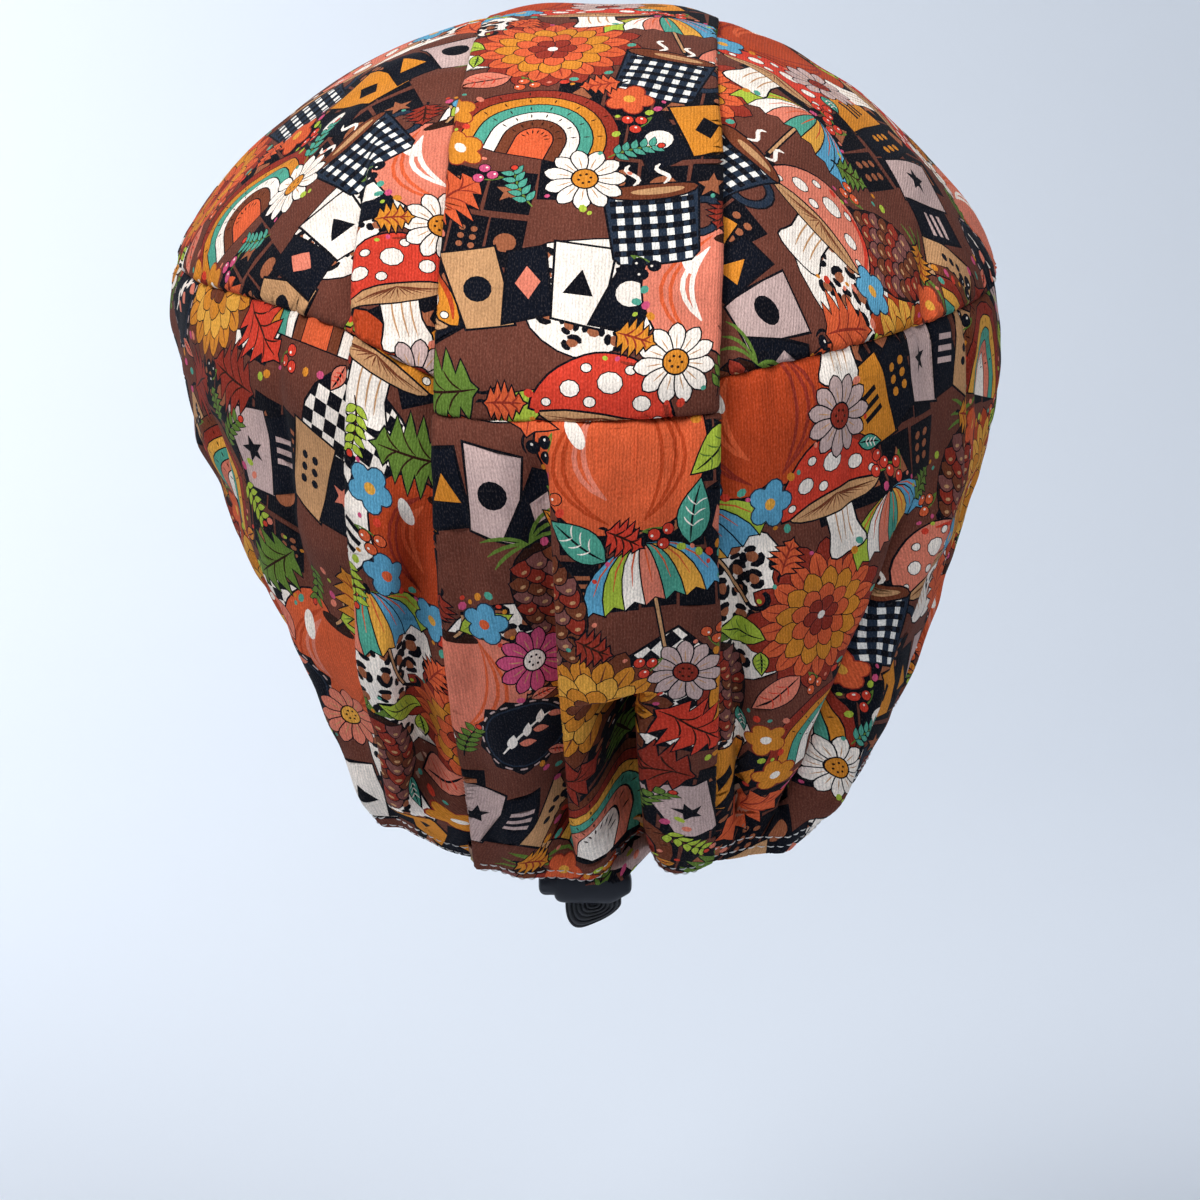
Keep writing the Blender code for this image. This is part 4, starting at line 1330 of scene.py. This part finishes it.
def band_folds(turn, down, to_seam):
    to_side = (np.abs(turn) - BROW_BAND_TURN) * TURN_LENGTH
    height = SEAM_PUFF * roll(to_side, SEAM_ROLL) * roll(to_seam, SEAM_ROLL)
    return height - RING_GROOVE * np.exp(-to_seam / SEAM_ROLL * 2), 0 * height


def from_seam(turn):
    return 0 * turn


def from_tail(turn):
    return (STRIP_TAIL + SEAM[1]) / wall_length(turn[0])[None, :]


under_turn = UNDER / TURN_LENGTH
roll_turn = (STRIP_PROUD / 2 - OVERHANG) / TURN_LENGTH
back_turns = edge_turn(1) - roll_turn, edge_turn(-1) + roll_turn
walls = {
    "side_left": wall_panel(
        BROW_BAND_TURN, edge_turn(1) - under_turn, from_seam, side_folds(1), 40, left=SEAM, reference=0.72
    ),
    "side_right": wall_panel(
        edge_turn(-1) + under_turn, -BROW_BAND_TURN, from_seam, side_folds(-1), 50, right=SEAM, reference=0.28
    ),
    "back_panel": wall_panel(*back_turns, from_tail, back_folds, 60, proud=back_proud, calm=back_calm),
    "front_band": wall_panel(
        -BROW_BAND_TURN, BROW_BAND_TURN - 360, from_seam, band_folds, 70, left=SEAM, right=SEAM
    ),
}
crowns = {"crown_strip": strip_panel(), "crown_left": crown_panel(1), "crown_right": crown_panel(-1)}

# The print on each panel: tilt in degrees and move in mm
PRINT = {
    "side_left": (-4, (31, 12)), "side_right": (5, (118, 60)), "back_panel": (0, (64, 150)),
    "front_band": (0, (10, 90)), "crown_strip": (0, (150, 40)), "crown_left": (24, (90, 10)),
    "crown_right": (-36, (20, 130)),
}
panels = {}
for name, (cut, outline) in {**walls, **crowns}.items():
    panels[name] = cloth_panel(name + "_cloth", cut, outline, *PRINT[name])


# The gathered turning that hangs out under the hem beside the lock
lock_low, lock_high = (np.array(corner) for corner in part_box("cord_lock"))
loop_high = np.array(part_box("elastic_loop")[1])
GATHER_SPAN = (0.0012, -0.0185)
GATHER_ROWS = 34
GATHER_COLUMNS = 60


def hem_place(x):
    """How far back and how high the nape's hem is at places across, evened out."""
    hem = walls["back_panel"][0]
    edge = hem.points[hem.hem_row + 1]
    weight = np.exp(-(((edge[None, :, 0] - x[:, None]) / 0.0016) ** 2))
    weight /= weight.sum(1, keepdims=True)
    return weight @ edge[:, 1], weight @ edge[:, 2]


def gathered_turning():
    x = np.linspace(*GATHER_SPAN, GATHER_COLUMNS)
    share = np.linspace(0, 1, GATHER_ROWS)[:, None]
    back, high = hem_place(x)
    across = np.linspace(0, 1, GATHER_COLUMNS)
    wave = np.sin(across * 4.2 * math.tau / 2 + 0.8)
    front = np.maximum(back - 0.0012, lock_high[1] + 0.0008) + 0.0010 * wave
    low = lock_high[2] - 0.0024 + 0.0014 * across + 0.0090 * ease(across * 2.2 - 1.1) + 0.0007 * wave
    y = mix(back - 0.0030, front, ease(share * 1.5))
    z = mix(high + 0.0045, low, share)
    table, _ = with_edges(stack(x + 0 * z, y, z), bottom=(0.005, 0.0011, 180))
    return Cut(table, table.shape[1] // 2, 0), round_outline(*table.shape[:2])


panels["nape_turning"] = cloth_panel("nape_turning", *gathered_turning(), 20, (15, 60))


# Stitches: two rows of white thread above the hem, as a twin needle sews them
STITCH = 0.0024
STITCH_GAP = 0.0004
THREAD = 0.00018
ROW_STEP = 0.0032
TUBE_SIDES = 6
# How far above the hem's edge each panel's lower row runs
HEM_ROWS = {"back_panel": -0.0008, "side_left": 0.0008, "side_right": 0.0024, "front_band": 0.0024}


def thread_pieces(line, normals, seed):
    """Short threads along a line of points: their points and faces."""
    random = np.random.default_rng(seed)
    run = np.concatenate([[0], np.cumsum(np.linalg.norm(np.diff(line, axis=0), axis=-1))])
    starts = np.arange(STITCH_GAP, run[-1] - STITCH, STITCH + STITCH_GAP)
    shares = np.linspace(0, 1, 6)
    points, faces = [], []
    for k, begin in enumerate(starts):
        at = begin + shares * STITCH
        middle = np.stack([np.interp(at, run, line[:, c]) for c in range(3)], 1)
        up = unit(np.stack([np.interp(at, run, normals[:, c]) for c in range(3)], 1))
        along = unit(np.gradient(middle, axis=0))
        side = np.cross(along, up)
        lift = THREAD * (-0.9 + 2.0 * np.sin(np.pi * shares))
        slant = random.uniform(-0.25, 0.25) * STITCH * (shares - 0.5)
        middle = middle + up * lift[:, None] + side * slant[:, None]
        radius = THREAD * (0.55 + 0.45 * np.sin(np.pi * shares)) * random.uniform(0.9, 1.15)
        for ring in range(len(shares)):
            angle = np.arange(TUBE_SIDES) / TUBE_SIDES * math.tau
            round_it = np.cos(angle)[:, None] * side[ring] + np.sin(angle)[:, None] * up[ring]
            points.append(middle[ring] + radius[ring] * round_it)
        first = k * len(shares) * TUBE_SIDES
        for ring in range(len(shares) - 1):
            for corner in range(TUBE_SIDES):
                a = first + ring * TUBE_SIDES + corner
                b = first + ring * TUBE_SIDES + (corner + 1) % TUBE_SIDES
                faces += [(a, a + TUBE_SIDES, b + TUBE_SIDES), (a, b + TUBE_SIDES, b)]
        last = first + (len(shares) - 1) * TUBE_SIDES
        for corner in range(1, TUBE_SIDES - 1):
            faces += [(first, first + corner, first + corner + 1), (last, last + corner + 1, last + corner)]
    return np.concatenate(points), np.array(faces)


def hem_stitches(name, cut, above, seed):
    points, faces, count = [], [], 0
    for row in range(2):
        at = cut.hem_row - (above + row * ROW_STEP) / CELL
        columns = np.arange(cut.sides[0], cut.sides[1] - 1, 1.0)
        line = cut.at(cut.points, columns, 0 * columns + at)
        normals = cut.at(cut.outward, columns, 0 * columns + at)
        made, ends = thread_pieces(smooth_line(line), unit(normals), seed + row)
        points.append(made)
        faces.append(ends + count)
        count += len(made)
    return new_mesh(name + "_stitches", np.concatenate(points), np.concatenate(faces))


def smooth_line(line):
    for _ in range(3):
        line[1:-1] = (line[:-2] + 2 * line[1:-1] + line[2:]) / 4
    return line


stitches = {
    name: hem_stitches(name, walls[name][0], HEM_ROWS[name], 90 + k)
    for k, name in enumerate(walls)
}


# The elastic and the cord lock
def quads(rows, columns, around=False):
    """Triangles over a grid of points, closed round its columns or not."""
    i, j = grid(np.arange(rows - 1), np.arange(columns if around else columns - 1))
    a, b = i * columns + j, i * columns + (j + 1) % columns
    return np.concatenate([np.stack([a, a + columns, b + columns], 1), np.stack([a, b + columns, b], 1)])


def power(value, exponent):
    return np.sign(value) * np.abs(value) ** exponent


ELASTIC_WIDTH = 0.0075
ELASTIC_THICKNESS = 0.0016
LOOP_RADIUS = 0.00425
LOOP_SIDE = -0.0008
RIBS = 6
RIB = 0.0011  # how deep the furrows between the ribs are
BAND_ROWS = 190
BAND_COLUMNS = 56  # on each face
BAND_LEAN = (0.0115, 0.007)  # how far above the lock's foot the band leans back, and over what length
LOCK_TRIM = 0.0018  # how much higher the visible lock's underside is than the solid's
lock_low[2] += LOCK_TRIM
lock_middle = (lock_low + lock_high) / 2


def elastic():
    """The ribbed band: down through the lock, round in a loop, and back up."""
    leg = float(loop_high[2] - lock_low[2])
    bend = math.pi * LOOP_RADIUS
    along = np.linspace(0, 2 * leg + bend, BAND_ROWS)[:, None]
    over = np.linspace(1, -1, BAND_COLUMNS + 1)[:-1]
    side = np.concatenate([over, -over])[None, :]
    face = np.sqrt(1 - side**10) * np.repeat([1, -1], BAND_COLUMNS)[None, :]
    offset = LOOP_RADIUS - side * ELASTIC_WIDTH / 2
    angle = np.clip((along - leg) / LOOP_RADIUS, 0, math.pi)
    climb = np.maximum(np.maximum(leg - along, along - leg - bend), 0)
    across = -power(np.cos(angle), mix(1, 0.7, np.sin(angle))) * offset
    lean = across / (LOOP_RADIUS + ELASTIC_WIDTH / 2)
    drop = power(np.sin(angle), 0.75) * offset * (0.84 + 0.42 * lean)
    ribs = RIB * (np.sqrt(np.abs(np.cos(side * math.pi * RIBS / 2))) - 0.7) * np.abs(face)
    thick = ELASTIC_THICKNESS / 2 * face + ribs * np.sign(face)
    up_there = ease((climb - BAND_LEAN[0]) / BAND_LEAN[1])
    leaned = mix(lock_middle[1], loop_high[1] - ELASTIC_THICKNESS / 2, up_there)
    y = leaned + thick + np.sin(angle) * (0.0007 * lean + 0.0004 * side)
    points = stack(LOOP_SIDE + across, y, lock_low[2] + climb - drop)
    rows, columns = points.shape[:2]
    faces = quads(rows, columns, around=True)
    ends = np.array([(0, k, k + 1) for k in range(1, columns - 1)])
    faces = np.concatenate([faces, ends, (ends + (rows - 1) * columns)[:, ::-1]])
    return new_mesh("ribbed_elastic", points.reshape(-1, 3), faces)


SLOT_HALF = (0.0083, 0.00115)
BODY_END = 0.0105  # where the lock's body ends and its button starts
BODY_ROWS = 44
BODY_COLUMNS = 120
BUTTON_ROWS = 30
BUTTON_COLUMNS = 64
BUTTON_HALF = (0.0034, 0.0032, 0.0037)
BUTTON_LIFT = 0.0008


def boxy_ring(turn, across, back, half):
    """A ring in plan, squarer the smaller its two exponents are."""
    return np.stack([power(np.cos(turn), across) * half[0], power(np.sin(turn), back) * half[1]], -1)


def lock_body():
    """The toggle's rounded body, with the slot for the elastic right through it."""
    low, high = lock_low[0], BODY_END
    middle = np.array([(low + high) / 2, lock_middle[1]])
    half = np.array([(high - low) / 2, (lock_high[1] - lock_low[1]) / 2])
    tall = (lock_high[2] - lock_low[2]) / 2
    turn = np.arange(BODY_COLUMNS)[None, :] / BODY_COLUMNS * math.tau
    plan = boxy_ring(turn, 0.6, 0.5, half)
    slot = boxy_ring(turn, 0.3, 0.3, SLOT_HALF) + [LOOP_SIDE - middle[0], 0]
    rise = np.linspace(math.pi / 2, -math.pi / 2, BODY_ROWS)[:, None]
    reach = power(np.cos(rise), 0.75)
    level = power(np.sin(rise), 0.62) * tall
    seam = 1 - 0.018 * np.exp(-((level / 0.00022) ** 2))
    outer = slot + (plan - slot) * (reach * seam)[..., None]
    lip = np.linspace(-1, 1, 8)[1:-1, None]
    inner = np.broadcast_to(slot, (len(lip), BODY_COLUMNS, 2))
    flat = np.concatenate([outer, inner, outer[:1]])
    levels = np.concatenate([level, lip * tall, level[:1]])
    # The body tapers to its end: its underside rises there
    to_end = ease(-flat[..., 0] / half[0] * 1.6 - 0.6)
    levels = levels * np.where(levels < 0, 1 - 0.55 * to_end, 1 - 0.12 * to_end)
    return stack(flat[..., 0] + middle[0], flat[..., 1] + middle[1], levels + lock_middle[2])


def lock_button():
    """The spring button at the toggle's end."""
    rise = np.linspace(math.pi / 2, -math.pi / 2, BUTTON_ROWS)[:, None]
    turn = np.arange(BUTTON_COLUMNS)[None, :] / BUTTON_COLUMNS * math.tau
    x = power(np.sin(rise), 0.5) * BUTTON_HALF[0] + lock_high[0] - BUTTON_HALF[0]
    grip = 0.03 * np.cos(12 * turn) * np.exp(-(((x - lock_high[0] + 0.002) / 0.001) ** 2))
    reach = power(np.cos(rise), 0.6) * (1 + grip)
    y = lock_middle[1] + reach * power(np.cos(turn), 0.8) * BUTTON_HALF[1]
    z = lock_middle[2] + BUTTON_LIFT + reach * power(np.sin(turn), 0.8) * BUTTON_HALF[2]
    return stack(x + 0 * y, y, z)


def lock():
    body, button = lock_body(), lock_button()
    rows, columns = body.shape[:2]
    body_faces = quads(rows, columns, around=True) % ((rows - 1) * columns)
    body_points = body.reshape(-1, 3)[: (rows - 1) * columns]
    button_faces = quads(button.shape[0], button.shape[1], around=True)
    points = np.concatenate([body_points, button.reshape(-1, 3)])
    faces = np.concatenate([body_faces, button_faces + len(body_points)])
    made = new_mesh("satin_lock", points, faces)
    welded = bmesh.new()
    welded.from_mesh(made.data)
    bmesh.ops.remove_doubles(welded, verts=welded.verts, dist=1e-6)
    bmesh.ops.recalc_face_normals(welded, faces=welded.faces)
    welded.to_mesh(made.data)
    welded.free()
    return made


band_piece, lock_piece = elastic(), lock()


# Materials
def new_material(name, **values):
    made = bpy.data.materials.new(name)
    made.use_nodes = True
    tree = made.node_tree
    shader = tree.nodes["Principled BSDF"]
    for socket, value in values.items():
        shader.inputs[socket.replace("_", " ")].default_value = value
    return made, tree, shader


def add(tree, kind, inputs=None, **settings):
    """A node with its settings, and its inputs set to values or linked from sockets."""
    node = tree.nodes.new(kind)
    for key, value in settings.items():
        setattr(node, key, value)
    for key, value in (inputs or {}).items():
        socket = node.inputs[key]
        if isinstance(value, bpy.types.NodeSocket):
            tree.links.new(value, socket)
        else:
            socket.default_value = value
    return node


def maths(tree, operation, first, second):
    return add(tree, "ShaderNodeMath", {0: first, 1: second}, operation=operation).outputs[0]


def noise(tree, vector, scale, detail, dimensions="3D"):
    values = {"Vector": vector, "Scale": scale, "Detail": detail}
    return add(tree, "ShaderNodeTexNoise", values, noise_dimensions=dimensions).outputs[0]


def ranged(tree, value, *limits):
    """A value carried from one range to another: from low, from high, to low, to high."""
    return add(tree, "ShaderNodeMapRange", {0: value, **dict(enumerate(limits, 1))}).outputs[0]


def mapped(tree, vector, **values):
    return add(tree, "ShaderNodeMapping", {0: vector, **values}).outputs[0]


def blended(tree, share, first, second):
    return add(tree, "ShaderNodeMix", {0: share, 6: first, 7: second}, data_type="RGBA").outputs[2]


def raised(tree, shader, height, strength, distance):
    bump = add(tree, "ShaderNodeBump", {"Height": height, "Strength": strength, "Distance": distance})
    tree.links.new(bump.outputs[0], shader.inputs["Normal"])


WALES = 1 / 0.00092 * math.tau / 20  # the wave texture's scale for wales that far apart
FADED = (0.60, 0.44, 0.36, 1)  # what shows between the fibres
WRONG_SIDE = (0.50, 0.32, 0.22, 1)  # the cloth's inside, where the print hardly comes through


def knit_material(name, inside=False):
    made, tree, shader = new_material(
        name, Roughness=0.9, Sheen_Weight=0.015, Sheen_Roughness=0.5, Specular_IOR_Level=0.05
    )
    flat = add(tree, "ShaderNodeUVMap", uv_map="cut").outputs[0]
    ink = add(tree, "ShaderNodeAttribute", attribute_name="print").outputs["Color"]
    # Wales run up the cloth, so the grain is stretched along them
    grain = noise(tree, mapped(tree, flat, Scale=(2500.0, 1300.0, 1.0)), 1.0, 1.0, "2D")
    fuzz = noise(tree, flat, 1500.0, 1.0, "2D")
    worn = ranged(tree, noise(tree, flat, 40.0, 3.0, "2D"), 0.3, 0.7, 0.88, 1.06)
    brush_at = mapped(tree, flat, Rotation=(0, 0, 0.5), Scale=(900.0, 240.0, 1.0))
    brushed = ranged(tree, noise(tree, brush_at, 1.0, 2.0, "2D"), 0.3, 0.7, 0.90, 1.07)
    dark = ranged(tree, grain, 0.25, 0.70, 0.80, 1.14)
    wale = add(
        tree, "ShaderNodeTexWave", {"Vector": flat, "Scale": WALES, "Distortion": 1.2, "Detail": 1.0}
    ).outputs[1]
    # Painted shade: the colour is darkened in the furrows between the wales, on top of their bump, and the
    # multiplier below carries it along with the random tone and grain
    painted_furrow_shade = ranged(tree, wale, 0.0, 1.0, 0.89, 1.07)
    light = worn
    for share in (brushed, dark, painted_furrow_shade):
        light = maths(tree, "MULTIPLY", light, share)
    pale = blended(tree, ranged(tree, grain, 0.55, 0.75, 0.0, 0.035), ink, FADED)
    final = add(tree, "ShaderNodeVectorMath", {0: pale, 3: light}, operation="SCALE").outputs[0]
    if inside:
        final = blended(tree, 0.55, final, WRONG_SIDE)
    tree.links.new(final, shader.inputs["Base Color"])
    fine = maths(tree, "ADD", grain, maths(tree, "MULTIPLY", fuzz, 0.4))
    raised(tree, shader, maths(tree, "ADD", maths(tree, "MULTIPLY", wale, 0.5), fine), 0.45, 0.0003)
    return made


knit = knit_material("printed_knit")
knit_inside = knit_material("knit_inside", inside=True)
for panel in panels.values():
    panel.data.materials.append(knit)
    panel.data.materials.append(knit_inside)


def shaded_material(name, colours, grain, height, **values):
    """A material whose colour wanders between two by noise, with fine relief."""
    made, tree, shader = new_material(name, **values)
    place = add(tree, "ShaderNodeTexCoord").outputs["Object"]
    patch = noise(tree, place, 180.0, 4.0)
    colours = ((*colour, 1) for colour in colours)
    tree.links.new(blended(tree, patch, *colours), shader.inputs["Base Color"])
    raised(tree, shader, noise(tree, mapped(tree, place, Scale=grain), 1.0, 2.0), 0.5, height)
    return made


thread_white = shaded_material(
    "white_thread", ((0.62, 0.60, 0.58), (0.85, 0.83, 0.80)), (5000.0, 5000.0, 9000.0), 0.0001,
    Roughness=0.8, Sheen_Weight=0.1,
)
elastic_black = shaded_material(
    "black_elastic", ((0.006, 0.007, 0.010), (0.014, 0.016, 0.022)), (2600.0, 2600.0, 2600.0), 0.0002,
    Roughness=0.55, Sheen_Weight=0.10,
)
satin_black = shaded_material(
    "satin_plastic", ((0.006, 0.008, 0.014), (0.013, 0.016, 0.026)), (2200.0, 2200.0, 2200.0), 0.00003,
    Roughness=0.42, Specular_IOR_Level=0.3,
)
for piece, made_of, node, slot in (
    (band_piece, elastic_black, "elastic_loop", "elastic"),
    (lock_piece, satin_black, "cord_lock", "lock_plastic"),
):
    piece.data.materials.append(made_of)
    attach(piece, "root")
    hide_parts(node)
for seam_thread in stitches.values():
    seam_thread.data.materials.append(thread_white)
    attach(seam_thread, "root")
for name, panel in panels.items():
    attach(panel, "root")
    if name in walls or name in crowns:
        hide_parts(name)


# Floor, light and camera
def plain(name, colour, roughness=0.9):
    made, _, shader = new_material(name, Roughness=roughness)
    shader.inputs["Base Color"].default_value = colour
    return made


FLOOR_LEVEL = -0.55
FLOOR_END = -1.2  # where the floor starts to curve up
FLOOR_BEND = 0.8  # the radius of that curve


def stage_sheet():
    """The floor, which curves up into a backdrop."""
    rows = []
    for x in (-6.0, 6.0):
        bend = [
            (x, FLOOR_END - math.sin(a) * FLOOR_BEND, FLOOR_LEVEL + (1 - math.cos(a)) * FLOOR_BEND)
            for a in np.linspace(0, math.pi / 2, 9)[1:]
        ]
        flat = [(x, 5.0, FLOOR_LEVEL), (x, FLOOR_END, FLOOR_LEVEL)]
        rows.append([*flat, *bend, (x, FLOOR_END - FLOOR_BEND, 5.0)])
    count = len(rows[0])
    faces = []
    for k in range(count - 1):
        faces += [(k, k + 1, count + k + 1), (k, count + k + 1, count + k)]
    floor = new_mesh("floor", np.array(rows[0] + rows[1]), np.array(faces))
    floor.data.materials.append(plain("pale_floor", (0.80, 0.84, 0.90, 1)))


stage_sheet()
scene = bpy.context.scene
world = bpy.data.worlds.new("studio")
world.use_nodes = True
world.node_tree.nodes["Background"].inputs[0].default_value = (0.76, 0.83, 0.96, 1)
world.node_tree.nodes["Background"].inputs[1].default_value = 0.24
scene.world = world
scene.view_settings.view_transform = "Standard"


def around(azimuth, elevation, distance):
    """A place at a distance from the target, with angles in degrees."""
    a, e = math.radians(azimuth), math.radians(elevation)
    return TARGET + Vector((math.sin(a) * math.cos(e), -math.cos(a) * math.cos(e), math.sin(e))) * distance


def facing(place, aim):
    return (aim - place).to_track_quat("-Z", "Y").to_euler()


def lamp(name, azimuth, elevation, distance, size, power, colour, aim=None):
    data = bpy.data.lights.new(name, "AREA")
    data.size = size
    data.energy = power
    data.color = colour
    made = bpy.data.objects.new(name, data)
    made.location = around(azimuth, elevation, distance)
    made.rotation_euler = facing(made.location, Vector(aim or TARGET))
    scene.collection.objects.link(made)


TARGET = Vector((0.0006, 0.0, -0.175))
AZIMUTH, ELEVATION, DISTANCE = 182.5, 13.0, 1.15
lamp("key", 146, 48, 1.3, 0.45, 12.4, (0.96, 0.98, 1.0))
lamp("fill", 212, 50, 1.4, 0.5, 6.8, (0.92, 0.96, 1.0))
lamp("top", 176, 78, 1.3, 0.6, 2.0, (1.0, 1.0, 1.0))
lamp("front", 0, 40, 1.6, 1.2, 4, (1.0, 1.0, 1.0))
lamp("backdrop", 66, 20, 1.9, 1.2, 28, (0.97, 0.99, 1.0), (1.3, -2.2, 0.0))

camera_data = bpy.data.cameras.new("camera")
camera_data.lens = 115.0
camera_data.sensor_width = 36.0
camera = bpy.data.objects.new("camera", camera_data)
camera.location = around(AZIMUTH, ELEVATION, DISTANCE)
camera.rotation_euler = facing(camera.location, TARGET)
scene.collection.objects.link(camera)
scene.camera = camera

bpy.context.view_layer.update()
